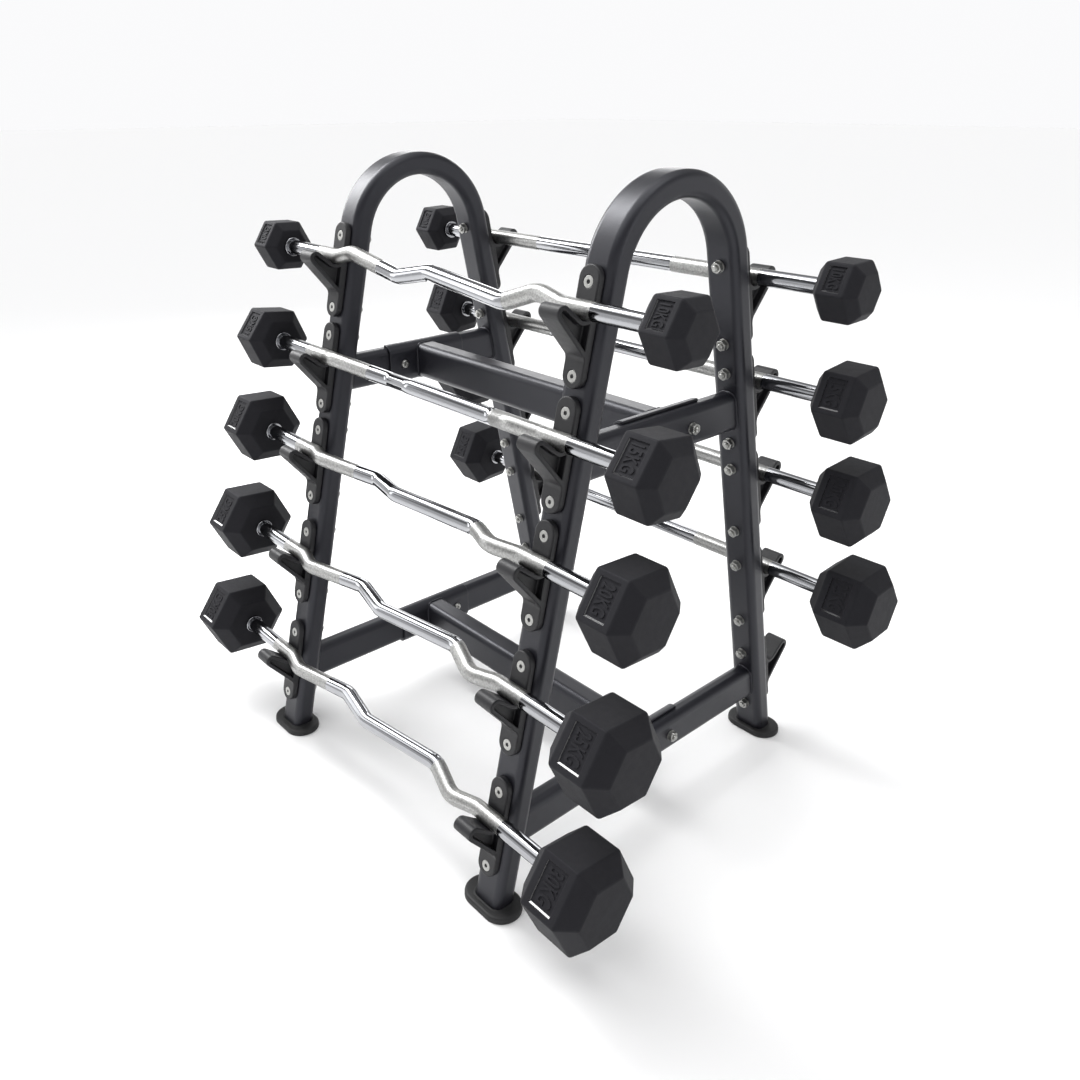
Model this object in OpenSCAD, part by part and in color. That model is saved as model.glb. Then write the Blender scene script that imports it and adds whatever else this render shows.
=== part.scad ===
// Free-standing two-sided rack for fixed barbells. Two arched tube frames stand on
// rubber feet, tied by mitred cross-pieces and two long beams. Pairs of moulded cradles
// are screwed up both sides, and nine of the ten pairs hold a hex-headed barbell.
// Front is -Y, the bars run along X, the floor is z = 0.

/* [Arched frames] */
// Distance between the centre planes of the two arches
arch_pitch = 650; // [560:10:760]
// Height of the centre of the top bend above the floor
bend_z = 983; // [940:1:1020]
// Centreline radius of the top bend
bend_r = 142.4; // [136:0.1:156]
// Lean of each leg from vertical, in degrees
leg_lean = 12.4; // [11:0.1:14]
// Width of the arch tube along the bars
tube_w = 62; // [56:1:68]
// Depth of the arch tube in the plane of the arch
tube_d = 42; // [36:1:44]
// Outer corner radius of the arch tube
tube_r = 14; // [8:0.5:16]
// Wall thickness of the tubes
tube_t = 2.5; // [2:0.5:4]

/* [Cross-pieces, beams and saddles] */
// Centre height of the upper cross-pieces
cross_upper_z = 739; // [700:1:780]
// Centre height of the lower cross-pieces
cross_lower_z = 133; // [110:1:180]
// Height of the cross-pieces and of the long beams
cross_h = 70; // [60:1:76]
// Width of the cross-pieces along the bars
cross_w = 36; // [32:1:40]
// Corner radius of the cross-pieces and beams
cross_r = 14; // [8:0.5:15]
// Depth of the long beams, front to back
beam_d = 50; // [40:1:60]
// Thickness of the saddle plates that join beams to cross-pieces
saddle_t = 5; // [4:0.5:6]
// Half length of a saddle plate, front to back
saddle_half = 92; // [80:1:100]
// Distance of each saddle bolt from the middle
saddle_bolt_y = 58; // [45:1:70]

/* [Feet] */
// Length of a foot along the bars
foot_l = 112; // [100:1:120]
// Width of a foot front to back
foot_w = 69; // [62:1:76]
// Height of a foot
foot_h = 12; // [10:0.5:18]
// Thickness of the foot's floor under the leg
foot_floor = 4; // [3:0.5:6]

/* [Cradles] */
// Width of a cradle along the bars
cradle_w = 40; // [36:1:48]
// Thickness of the cradle's back plate
cradle_plate = 12; // [10:0.5:14]
// Distance between a cradle's two screws
screw_pitch = 134.3; // [130:0.1:138]
// Distance of the seat's centre in front of the back plate
seat_out = 14.2; // [14.2:0.1:16]
// Distance of the seat's centre below the upper screw
seat_down = 38; // [36:0.5:40]
// Radius of the nose
nose_r = 12.3; // [11:0.1:13]
// Distance of the nose's centre in front of the back plate
nose_out = 56; // [54:0.5:58]
// Distance of the nose's centre below the upper screw
nose_down = 46.8; // [45:0.1:49]
// Distance below the upper screw where the strut meets the plate
strut_down = 106; // [102:1:110]
// Thickness of the strips round the side pockets
strip_t = 7.5; // [6:0.5:8]
// Thickness of the web between the side pockets
web_t = 14; // [10:1:20]

/* [Barbells] */
// Diameter of the handles
bar_d = 28; // [26:0.5:28]
// Distance from the middle to the inner face of each head
head_in = 470; // [465:1:490]
// Radius of the collar ring at each head
collar_r = 18; // [17:0.5:20]
// Width of the collar ring
collar_w = 6; // [4:0.5:10]
// Turn of each curl bar about its own axis, in degrees, from the top one down
curl_turn = [60, 153, 175, 215, 227]; // [0:1:360]

/* [Hidden] */
$fn = 72;

ax = arch_pitch / 2;
cl = cos(leg_lean);
sl = sin(leg_lean);
// Where the leg's planes lie, measured inward from the cradle plate's front face
leg_n = cradle_plate + tube_d / 2;
leg_in = cradle_plate + tube_d;
// The uppermost screw sits a little below the end of the top bend
first_down = 18.1;
u1_y = (bend_r + leg_n) * cl + first_down * sl;
u1_z = bend_z + (bend_r + leg_n) * sl - first_down * cl;
// Distance of each tier's upper screw down the leg
tiers = [0, 188, 375.5, 587, 806];

// Size of each head: across flats, length of the flat sides, length of each chamfer
head_size = [[91, 45.5, 15], [114, 55, 15.6], [129, 57, 19], [139, 64, 25], [145, 66, 24]];
// Ratio of the flat end's size to the full size
end_ratio = 0.66;
// Small turn of each barbell about its own axis, front and rear, from the top down
turn_front = [-2.3, -6.8, -3.1, -4.3, -5.5];
turn_rear = [2, 5.4, 3, 4];

// Stations and side offsets of the curl bars' bends
curl_x = [-296, -260, -98, -20, 178, 240, 296];
curl_bend_r = 50;
curl_o = [0, 12, -12, 6, -14, 12.5, 0];

// The whole object runs from the lowest front head to the lowest rear nose, and the origin is under its middle
function corner(i) = head_size[i][0] / sqrt(3);
function bar_y(s) = u1_y + seat_out * cl + (s + seat_down) * sl;
function bar_z(s) = u1_z + seat_out * sl - (s + seat_down) * cl;
y_lo = -bar_y(tiers[4]) - corner(4) * cos(turn_front[4]);
y_hi = u1_y + nose_out * cl + (tiers[4] + nose_down) * sl + nose_r;
y_shift = -(y_lo + y_hi) / 2;

function unit(a) = [cos(a), sin(a)];
// Front-to-back position of a leg's plane at a height
function leg_y(n, z) = -u1_y + n * cl - ((u1_z - n * sl - z) / cl) * sl;

module place() { translate([0, y_shift, 0]) children(); }

// Puts children in the frame of a leg: +Z up the leg, +Y inward, origin at the top screw
module on_leg(x, rear) {
  mirror([0, rear ? 1 : 0, 0]) translate([x, -u1_y, u1_z]) rotate([-leg_lean, 0, 0]) children();
}

// Turns a shape built along +Z to point inward through the leg
module inward() { rotate([-90, 0, 0]) children(); }

module rounded(w, h, r) {
  square([w - 2 * r, h], center = true);
  square([w, h - 2 * r], center = true);
  for (i = [-1, 1], j = [-1, 1]) translate([i * (w / 2 - r), j * (h / 2 - r)]) circle(r);
}

module tube_section(w, h, r) {
  difference() { rounded(w, h, r); rounded(w - 2 * tube_t, h - 2 * tube_t, r - tube_t); }
}

// ---------- arches ----------
// The legs are drawn a hair slimmer than the bend and run a little way into its wall
join_step = 0.05;
module leg_run(x, rear, up, down) {
  on_leg(x, rear) translate([0, leg_n, -down]) linear_extrude(down + up) difference() {
    rounded(tube_w - 2 * join_step, tube_d - 2 * join_step, tube_r - join_step);
    rounded(tube_w - 2 * tube_t + 2 * join_step, tube_d - 2 * tube_t + 2 * join_step, tube_r - tube_t + join_step);
  }
}

module arch(x) {
  color([0.17, 0.17, 0.19]) place() difference() {
    union() {
      translate([x, 0, bend_z]) rotate([90, 0, 90]) rotate([0, 0, leg_lean])
        rotate_extrude(angle = 180 - 2 * leg_lean) translate([bend_r, 0]) tube_section(tube_d, tube_w, tube_r);
      leg_run(x, false, first_down + 1, 1100);
      leg_run(x, true, first_down + 1, 1100);
    }
    translate([x - 100, -700, -200]) cube([200, 1400, 200 + foot_floor]);
    for (rear = [false, true], s = tiers, k = [0, screw_pitch])
      on_leg(x, rear) translate([0, cradle_plate - 5, -s - k]) inward() cylinder(h = tube_d + 10, r = 5.3);
  }
}

// ---------- cross-pieces ----------
module cross_piece(x, z) {
  color([0.17, 0.17, 0.19]) place() difference() {
    translate([x, 0, z]) rotate([90, 0, 0]) linear_extrude(760, center = true) tube_section(cross_w, cross_h, cross_r);
    for (rear = [false, true]) on_leg(x, rear) translate([-100, leg_in - 500, -1100]) cube([200, 500, 1300]);
    for (y = [-saddle_bolt_y, saddle_bolt_y]) translate([x, y, z]) rotate([0, 90, 0]) cylinder(h = 100, r = 5.3, center = true);
  }
}

// ---------- saddles and beams ----------
module saddle_block(x, z, half) {
  translate([x, 0, z]) rotate([90, 0, 0]) linear_extrude(2 * half, center = true)
    rounded(cross_w + 2 * saddle_t, cross_h + 2 * saddle_t, cross_r + saddle_t);
}

module saddle(x, z) {
  inner = x > 0 ? 1 : 0;
  color([0.17, 0.17, 0.19]) place() difference() {
    translate([x, 0, z]) mirror([inner, 0, 0]) rotate([90, 0, 0]) linear_extrude(2 * saddle_half, center = true)
      difference() {
        rounded(cross_w + 2 * saddle_t, cross_h + 2 * saddle_t, cross_r + saddle_t);
        rounded(cross_w, cross_h, cross_r);
        translate([-200, -100]) square([200, 200]);
      }
    for (y = [-saddle_bolt_y, saddle_bolt_y]) translate([x, y, z]) rotate([0, 90, 0]) cylinder(h = 100, r = 5.3, center = true);
  }
}

module beam(z) {
  color([0.17, 0.17, 0.19]) place() difference() {
    translate([0, 0, z]) rotate([90, 0, 90]) linear_extrude(arch_pitch - 2 * 8, center = true) tube_section(beam_d, cross_h, cross_r);
    for (x = [-ax, ax]) saddle_block(x, z, 60);
  }
}

// ---------- feet ----------
module foot(x, rear) {
  color([0.06, 0.06, 0.065]) place() difference() {
    mirror([0, rear ? 1 : 0, 0]) translate([x, leg_y(leg_n, 0), 0]) linear_extrude(foot_h) {
      square([foot_l - foot_w, foot_w], center = true);
      for (i = [-1, 1]) translate([i * (foot_l - foot_w) / 2, 0]) circle(foot_w / 2);
    }
    difference() {
      on_leg(x, rear) translate([0, leg_n, -1200]) linear_extrude(400)
        rounded(tube_w + 0.6, tube_d + 0.6, tube_r + 0.3);
      translate([x - 200, -700, -400]) cube([400, 1400, 400 + foot_floor]);
    }
  }
}

// ---------- cradles ----------
seat_r = bar_d / 2 + 0.4;
seat_c = [seat_out, -seat_down];
nose_c = [nose_out, -nose_down];
// Direction from the seat's centre to the valley wall, and from the nose's centre to the strut
reach = nose_c - seat_c;
valley_a = atan2(reach[1], reach[0]) - acos((seat_r + nose_r) / norm(reach));
heel = [0, -strut_down];
drop = heel - nose_c;
strut_a = atan2(drop[1], drop[0]) + acos(nose_r / norm(drop));
pocket_back = 2;

module hook_side() {
  polygon([[-6, -seat_down], seat_c, seat_c + seat_r * unit(valley_a), nose_c - nose_r * unit(valley_a),
           nose_c, nose_c + nose_r * unit(strut_a), heel, [-6, -strut_down]]);
  translate(nose_c) circle(nose_r);
}

module pocket_side() {
  v = unit(valley_a);
  t = unit(strut_a);
  tip = nose_r - strip_t;
  floor_c = v * (seat_c + (seat_r + strip_t) * v);
  strut_c = t * (heel - strip_t * t);
  difference() {
    union() {
      polygon([[pocket_back, (strut_c - t[0] * pocket_back) / t[1]], nose_c + tip * t, nose_c, nose_c - tip * v,
               [seat_out, (floor_c - v[0] * seat_out) / v[1]], [pocket_back, -seat_down]]);
      translate(nose_c) circle(tip);
    }
    translate(seat_c) circle(seat_r + strip_t);
  }
}

module cradle(x, rear, s) {
  on_leg(x, rear) translate([0, 0, -s]) difference() {
    union() {
      translate([0, cradle_plate, 0]) rotate([90, 0, 0]) linear_extrude(cradle_plate) {
        translate([-cradle_w / 2, 2 - screw_pitch]) square([cradle_w, screw_pitch + 3]);
        translate([0, 5]) circle(cradle_w / 2);
        translate([0, 2 - screw_pitch]) circle(cradle_w / 2);
      }
      rotate([90, 0, -90]) linear_extrude(cradle_w, center = true) hook_side();
    }
    // side pockets either side of the middle web
    for (m = [0, 1]) mirror([m, 0, 0]) rotate([90, 0, -90]) translate([0, 0, web_t / 2]) linear_extrude(cradle_w) pocket_side();
    // countersunk screw holes
    inward() for (k = [0, screw_pitch]) translate([0, k, 0]) {
      translate([0, 0, -1]) cylinder(h = cradle_plate + 2, r = 5.3);
      translate([0, 0, -0.85]) cylinder(h = 4.7, r1 = 10, r2 = 5.3);
    }
    // the bar's seat
    translate([-40, -seat_out, -seat_down]) rotate([0, 90, 0]) cylinder(h = 80, r = seat_r);
  }
}

module cradle_pair(rear, s) {
  color([0.09, 0.09, 0.1]) place() for (x = [-ax, ax]) cradle(x, rear, s);
}

// ---------- fasteners ----------
module screw() {
  inward() difference() {
    union() {
      translate([0, 0, 0.15]) cylinder(h = 4, r1 = 9, r2 = 5);
      translate([0, 0, 2]) cylinder(h = leg_in + 11.5 - 2, r = 5);
      translate([0, 0, leg_in + 11.5]) cylinder(h = 2, r1 = 5, r2 = 3.2);
    }
    translate([0, 0, -1]) cylinder(h = 5, r = 3 / cos(30), $fn = 6);
  }
}

module nut(bore) {
  difference() {
    union() {
      cylinder(h = 2, r = 10);
      translate([0, 0, 2]) cylinder(h = 8, r = 8.5 / cos(30), $fn = 6);
    }
    translate([0, 0, -1]) cylinder(h = 12, r = bore);
  }
}

module at_screws() {
  for (rear = [false, true], x = [-ax, ax], s = tiers, k = [0, screw_pitch])
    on_leg(x, rear) translate([0, 0, -s - k]) children();
}

module cradle_screws() { color([0.78, 0.78, 0.76]) place() at_screws() screw(); }
module cradle_nuts() { color([0.8, 0.8, 0.8]) place() at_screws() translate([0, leg_in, 0]) inward() nut(5); }

module at_saddles() {
  for (z = [cross_upper_z, cross_lower_z], m = [0, 1], y = [-saddle_bolt_y, saddle_bolt_y])
    mirror([m, 0, 0]) translate([ax, y, z]) children();
}

// The bolt's head is on the saddle plate and its nut on the cross-piece's outer side
module saddle_bolts() {
  color([0.78, 0.78, 0.76]) place() at_saddles() rotate([0, 90, 0]) difference() {
    union() {
      translate([0, 0, -cross_w / 2 - saddle_t - 5]) cylinder(h = 5, r1 = 6.5, r2 = 8.75);
      translate([0, 0, -cross_w / 2 - saddle_t - 1]) cylinder(h = cross_w + saddle_t + 14, r = 5);
    }
    translate([0, 0, -cross_w / 2 - saddle_t - 6]) cylinder(h = 4.5, r = 3 / cos(30), $fn = 6);
  }
}

module saddle_nuts() {
  color([0.8, 0.8, 0.8]) place() at_saddles() rotate([0, 90, 0]) translate([0, 0, cross_w / 2]) nut(5);
}

// ---------- barbells ----------
// Puts children on a barbell's axis
module on_bar(rear, tier, turn) {
  place() translate([0, (rear ? 1 : -1) * bar_y(tiers[tier]), bar_z(tiers[tier])]) rotate([turn, 0, 0]) children();
}

function bore_len(i) = 2 * head_size[i][2] + head_size[i][1] - 15;

// Where a handle ends inside its heads
function bar_end(i) = head_in + bore_len(i);

module collars() {
  for (m = [0, 1]) mirror([m, 0, 0]) translate([head_in - collar_w, 0, 0]) rotate([0, 90, 0]) cylinder(h = collar_w, r = collar_r);
}

module straight_bar(rear, i, turn) {
  color([0.75, 0.76, 0.78]) on_bar(rear, i, turn) {
    rotate([0, 90, 0]) cylinder(h = 2 * bar_end(i), r = bar_d / 2, center = true);
    collars();
  }
}

function curl_pts(i) = concat([[-bar_end(i), 0]], [for (k = [0:len(curl_x) - 1]) [curl_x[k], curl_o[k]]], [[bar_end(i), 0]]);

// Direction of the run from point k, turn at point k, and how far the bend reaches along each run
function run_a(p, k) = atan2(p[k + 1][1] - p[k][1], p[k + 1][0] - p[k][0]);
function turn_at(p, k) = k == 0 || k == len(p) - 1 ? 0 : run_a(p, k) - run_a(p, k - 1);
function reach_at(p, k) = curl_bend_r * tan(abs(turn_at(p, k)) / 2);

// The straight run after point k; it runs a hair into the bends at its ends
module curl_run(p, k) {
  from = max(reach_at(p, k) - 0.5, 0);
  to = norm(p[k + 1] - p[k]) - max(reach_at(p, k + 1) - 0.5, 0);
  translate(p[k]) rotate([0, 0, run_a(p, k)]) translate([from, 0, 0]) rotate([0, 90, 0]) cylinder(h = to - from, r = bar_d / 2 - join_step);
}

// The bend at point k
module curl_bend(p, k) {
  side = turn_at(p, k) > 0 ? 1 : -1;
  translate(p[k]) rotate([0, 0, run_a(p, k - 1)]) translate([-reach_at(p, k), side * curl_bend_r, 0])
    mirror([0, side > 0 ? 0 : 1, 0]) rotate([0, 0, -90]) rotate_extrude(angle = abs(turn_at(p, k))) translate([curl_bend_r, 0]) circle(bar_d / 2);
}

module curl_bar(i, turn) {
  p = curl_pts(i);
  color([0.75, 0.76, 0.78]) on_bar(false, i, curl_turn[i]) {
    for (k = [0:len(p) - 2]) curl_run(p, k);
    for (k = [1:len(p) - 2]) curl_bend(p, k);
    collars();
  }
}

module head_side(i) {
  w = head_size[i][0] / 2;
  l = head_size[i][1];
  c = head_size[i][2];
  polygon([[0, -w * end_ratio], [c, -w], [c + l, -w], [2 * c + l, -w * end_ratio],
           [2 * c + l, w * end_ratio], [c + l, w], [c, w], [0, w * end_ratio]]);
}

module head(rear, i, turn, left) {
  w = head_size[i][0];
  l = head_size[i][1];
  c = head_size[i][2];
  color([0.2, 0.205, 0.22]) on_bar(rear, i, turn) mirror([left ? 1 : 0, 0, 0]) translate([head_in, 0, 0]) difference() {
    intersection() {
      rotate([90, 0, 0]) linear_extrude(2 * w, center = true) head_side(i);
      rotate([150, 0, 0]) linear_extrude(2 * w, center = true) head_side(i);
      rotate([210, 0, 0]) linear_extrude(2 * w, center = true) head_side(i);
    }
    // recessed panel on the upper front face
    rotate([60, 0, 0]) translate([c + l * 0.2, -w * 0.21, w / 2 - 2]) cube([l * 0.6, w * 0.42, 10]);
    translate([-1, 0, 0]) rotate([0, 90, 0]) cylinder(h = bore_len(i) + 1, r = bar_d / 2);
  }
}

arch(ax);  // arch_right
arch(-ax);  // arch_left
cross_piece(ax, cross_upper_z);  // cross_upper_right
cross_piece(-ax, cross_upper_z);  // cross_upper_left
cross_piece(ax, cross_lower_z);  // cross_lower_right
cross_piece(-ax, cross_lower_z);  // cross_lower_left
beam(cross_upper_z);  // beam_upper
beam(cross_lower_z);  // beam_lower
saddle(ax, cross_upper_z);  // saddle_upper_right
saddle(-ax, cross_upper_z);  // saddle_upper_left
saddle(ax, cross_lower_z);  // saddle_lower_right
saddle(-ax, cross_lower_z);  // saddle_lower_left
foot(ax, false);  // foot_front_right
foot(-ax, false);  // foot_front_left
foot(ax, true);  // foot_rear_right
foot(-ax, true);  // foot_rear_left
cradle_pair(false, tiers[0]);  // cradle_front_1
cradle_pair(false, tiers[1]);  // cradle_front_2
cradle_pair(false, tiers[2]);  // cradle_front_3
cradle_pair(false, tiers[3]);  // cradle_front_4
cradle_pair(false, tiers[4]);  // cradle_front_5
cradle_pair(true, tiers[0]);  // cradle_rear_1
cradle_pair(true, tiers[1]);  // cradle_rear_2
cradle_pair(true, tiers[2]);  // cradle_rear_3
cradle_pair(true, tiers[3]);  // cradle_rear_4
cradle_pair(true, tiers[4]);  // cradle_rear_5
cradle_screws();
cradle_nuts();
saddle_bolts();
saddle_nuts();
curl_bar(0, turn_front[0]);  // curl_bar_10
head(false, 0, turn_front[0], false);  // curl_head_10_right
head(false, 0, turn_front[0], true);  // curl_head_10_left
curl_bar(1, turn_front[1]);  // curl_bar_15
head(false, 1, turn_front[1], false);  // curl_head_15_right
head(false, 1, turn_front[1], true);  // curl_head_15_left
curl_bar(2, turn_front[2]);  // curl_bar_20
head(false, 2, turn_front[2], false);  // curl_head_20_right
head(false, 2, turn_front[2], true);  // curl_head_20_left
curl_bar(3, turn_front[3]);  // curl_bar_25
head(false, 3, turn_front[3], false);  // curl_head_25_right
head(false, 3, turn_front[3], true);  // curl_head_25_left
curl_bar(4, turn_front[4]);  // curl_bar_30
head(false, 4, turn_front[4], false);  // curl_head_30_right
head(false, 4, turn_front[4], true);  // curl_head_30_left
straight_bar(true, 0, turn_rear[0]);  // straight_bar_10
head(true, 0, turn_rear[0], false);  // straight_head_10_right
head(true, 0, turn_rear[0], true);  // straight_head_10_left
straight_bar(true, 1, turn_rear[1]);  // straight_bar_15
head(true, 1, turn_rear[1], false);  // straight_head_15_right
head(true, 1, turn_rear[1], true);  // straight_head_15_left
straight_bar(true, 2, turn_rear[2]);  // straight_bar_20
head(true, 2, turn_rear[2], false);  // straight_head_20_right
head(true, 2, turn_rear[2], true);  // straight_head_20_left
straight_bar(true, 3, turn_rear[3]);  // straight_bar_25
head(true, 3, turn_rear[3], false);  // straight_head_25_right
head(true, 3, turn_rear[3], true);  // straight_head_25_left
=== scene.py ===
import math

import bmesh
import bpy
import numpy as np
from mathutils import Matrix, Vector


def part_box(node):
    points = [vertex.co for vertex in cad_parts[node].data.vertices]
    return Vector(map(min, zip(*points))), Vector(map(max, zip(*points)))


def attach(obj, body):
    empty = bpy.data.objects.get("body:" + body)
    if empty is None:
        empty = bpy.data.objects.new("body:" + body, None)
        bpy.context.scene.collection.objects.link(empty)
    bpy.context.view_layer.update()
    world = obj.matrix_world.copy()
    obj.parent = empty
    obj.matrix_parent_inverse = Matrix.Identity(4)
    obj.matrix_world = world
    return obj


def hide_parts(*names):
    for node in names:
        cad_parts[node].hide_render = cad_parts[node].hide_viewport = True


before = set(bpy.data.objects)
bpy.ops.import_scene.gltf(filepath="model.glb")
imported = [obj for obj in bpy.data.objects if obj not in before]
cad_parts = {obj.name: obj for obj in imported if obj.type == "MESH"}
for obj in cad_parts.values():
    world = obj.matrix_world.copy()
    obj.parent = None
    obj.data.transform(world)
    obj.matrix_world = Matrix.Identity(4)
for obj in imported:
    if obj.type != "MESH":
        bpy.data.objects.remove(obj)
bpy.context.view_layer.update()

# ------------------------------------------------------------------ sizes, in metres
MM = 0.001
LEAN = math.radians(12.4)
CL, SL = math.cos(LEAN), math.sin(LEAN)
PLATE, TUBE_W, TUBE_D, TUBE_R = 12 * MM, 62 * MM, 42 * MM, 14 * MM
LEG_N, LEG_IN = PLATE + TUBE_D / 2, PLATE + TUBE_D
BEND_R, BEND_Z = 142.4 * MM, 983 * MM
FIRST_DOWN = 18.1 * MM
U1_Y = (BEND_R + LEG_N) * CL + FIRST_DOWN * SL
U1_Z = BEND_Z + (BEND_R + LEG_N) * SL - FIRST_DOWN * CL
TIERS = [0, 188 * MM, 375.5 * MM, 587 * MM, 806 * MM]
PITCH = 134.3 * MM
SEAT_O, SEAT_D = 14.2 * MM, 38 * MM
AX = 325 * MM
CROSS_Z = {"upper": 739 * MM, "lower": 133 * MM}
CROSS_H, CROSS_W, CROSS_R, BEAM_D = 70 * MM, 36 * MM, 14 * MM, 50 * MM
SADDLE_T, SADDLE_HALF, BOLT_Y = 5 * MM, 92 * MM, 58 * MM
HEAD_IN = 470 * MM
HEADS = [(91, 45.5, 15), (114, 55, 15.6), (129, 57, 19), (139, 64, 25), (145, 66, 24)]
TURN_FRONT = [-2.3, -6.8, -3.1, -4.3, -5.5]
TURN_REAR = [2, 5.4, 3, 4]
CURL_TURN = [60, 153, 175, 215, 227]
CURL_X = [-296, -260, -98, -20, 178, 240, 296]
CURL_O = [0, 12, -12, 6, -14, 12.5, 0]
CURL_BEND = 50 * MM
KG = [10, 15, 20, 25, 30]

lo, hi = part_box("arch_right")
SHIFT = (lo[1] + hi[1]) / 2  # the rack's own middle, front to back


def bar_y(s):
    return U1_Y + SEAT_O * CL + (s + SEAT_D) * SL


def bar_z(s):
    return U1_Z + SEAT_O * SL - (s + SEAT_D) * CL


def leg_y(n, z):
    return -U1_Y + n * CL - ((U1_Z - n * SL - z) / CL) * SL


def leg_matrix(x, rear):
    """The frame of a leg: x along the bars, y inward through the leg, z up along it, origin at the top screw."""
    m = Matrix.Translation((0, -U1_Y, U1_Z)) @ Matrix.Rotation(-LEAN, 4, "X")
    if rear:
        m = Matrix.Rotation(math.pi, 4, "Z") @ m
    return Matrix.Translation((x, SHIFT, 0)) @ m


# ------------------------------------------------------------------ camera and light
def camera():
    cam = bpy.data.cameras.new("camera")
    obj = bpy.data.objects.new("camera", cam)
    bpy.context.scene.collection.objects.link(obj)
    right = Vector((0.66087, 0.75050, -0.00221))
    down = Vector((0.27595, -0.24574, -0.92923))
    ahead = Vector((-0.69793, 0.61349, -0.36950))
    m = Matrix((right, -down, -ahead)).transposed().to_4x4()
    m.translation = (1.2521, -1.1275 + SHIFT, 1.2409)
    obj.matrix_world = m
    cam.sensor_width = 36
    cam.lens = 946.68 / 1080 * 36
    cam.shift_x = (540 - 514.61) / 1080
    cam.shift_y = -(540 - 474.47) / 1080
    cam.clip_start, cam.clip_end = 0.05, 60
    bpy.context.scene.camera = obj


def area(name, loc, target, size, power, colour=(1, 1, 1)):
    light = bpy.data.lights.new(name, "AREA")
    light.shape = "RECTANGLE"
    light.size, light.size_y = size
    light.energy = power
    light.color = colour
    obj = bpy.data.objects.new(name, light)
    bpy.context.scene.collection.objects.link(obj)
    obj.location = loc
    obj.rotation_mode = "QUATERNION"
    obj.rotation_quaternion = (Vector(target) - Vector(loc)).to_track_quat("-Z", "Y")
    return obj


def stage():
    world = bpy.data.worlds.new("studio")
    bpy.context.scene.world = world
    world.use_nodes = True
    nt = world.node_tree
    nt.nodes.clear()
    out = nt.nodes.new("ShaderNodeOutputWorld")
    bg = nt.nodes.new("ShaderNodeBackground")
    tc = nt.nodes.new("ShaderNodeTexCoord")
    sep = nt.nodes.new("ShaderNodeSeparateXYZ")
    ramp = nt.nodes.new("ShaderNodeValToRGB")
    ramp.color_ramp.interpolation = "EASE"
    els = ramp.color_ramp.elements
    els[0].position, els[0].color = 0.0, (0.9, 0.9, 0.9, 1)
    els[1].position, els[1].color = 1.0, (1.0, 1.0, 1.0, 1)
    # the sine of the elevation runs over 0.5 to 1 above the horizon
    for pos, c in ((0.50, 0.96), (0.61, 0.96), (0.69, 0.34), (0.77, 0.22), (0.86, 0.55), (0.94, 0.95)):
        e = els.new(pos)
        e.color = (c, c, c * 1.01, 1)
    mp = nt.nodes.new("ShaderNodeMapRange")
    mp.inputs["From Min"].default_value = -1
    mp.inputs["From Max"].default_value = 1
    nt.links.new(tc.outputs["Generated"], sep.inputs[0])
    nt.links.new(sep.outputs["Z"], mp.inputs["Value"])
    nt.links.new(mp.outputs[0], ramp.inputs[0])
    nt.links.new(ramp.outputs[0], bg.inputs[0])
    bg.inputs[1].default_value = 1.0
    bpy.context.scene.view_settings.view_transform = "Standard"
    nt.links.new(bg.outputs[0], out.inputs[0])

    me = bpy.data.meshes.new("floor")
    s = 45
    me.from_pydata([(-s, -s, 0), (s, -s, 0), (s, s, 0), (-s, s, 0)], [], [(0, 1, 2, 3)])
    floor = bpy.data.objects.new("floor", me)
    bpy.context.scene.collection.objects.link(floor)
    m = bpy.data.materials.new("floor")
    m.use_nodes = True
    b = m.node_tree.nodes["Principled BSDF"]
    b.inputs["Base Color"].default_value = (0.9, 0.9, 0.9, 1)
    b.inputs["Roughness"].default_value = 0.9
    b.inputs["Specular IOR Level"].default_value = 0.1
    me.materials.append(m)

    sun = bpy.data.lights.new("sky_soft", "SUN")
    sun.energy, sun.angle = 1.35, math.radians(70)
    lamp = bpy.data.objects.new("sky_soft", sun)
    bpy.context.scene.collection.objects.link(lamp)
    lamp.rotation_euler = (math.radians(14), math.radians(-10), 0)
    area("key_top", (-2.1, -0.5, 2.75), (0.3, -0.25, 1.0), (0.9, 2.9), 110)
    area("top_right", (1.6, 0.6, 3.4), (0, 0, 0.6), (1.6, 1.2), 12)
    area("side_left", (-3.2, -2.6, 1.8), (0, 0, 0.6), (0.8, 2.4), 14)
    area("side_right", (3.4, 1.2, 1.8), (0, 0, 0.6), (0.8, 2.4), 8)
    area("back_left", (-2.7, 2.5, 1.9), (0, 0, 0.7), (2.2, 1.1), 27)


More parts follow.
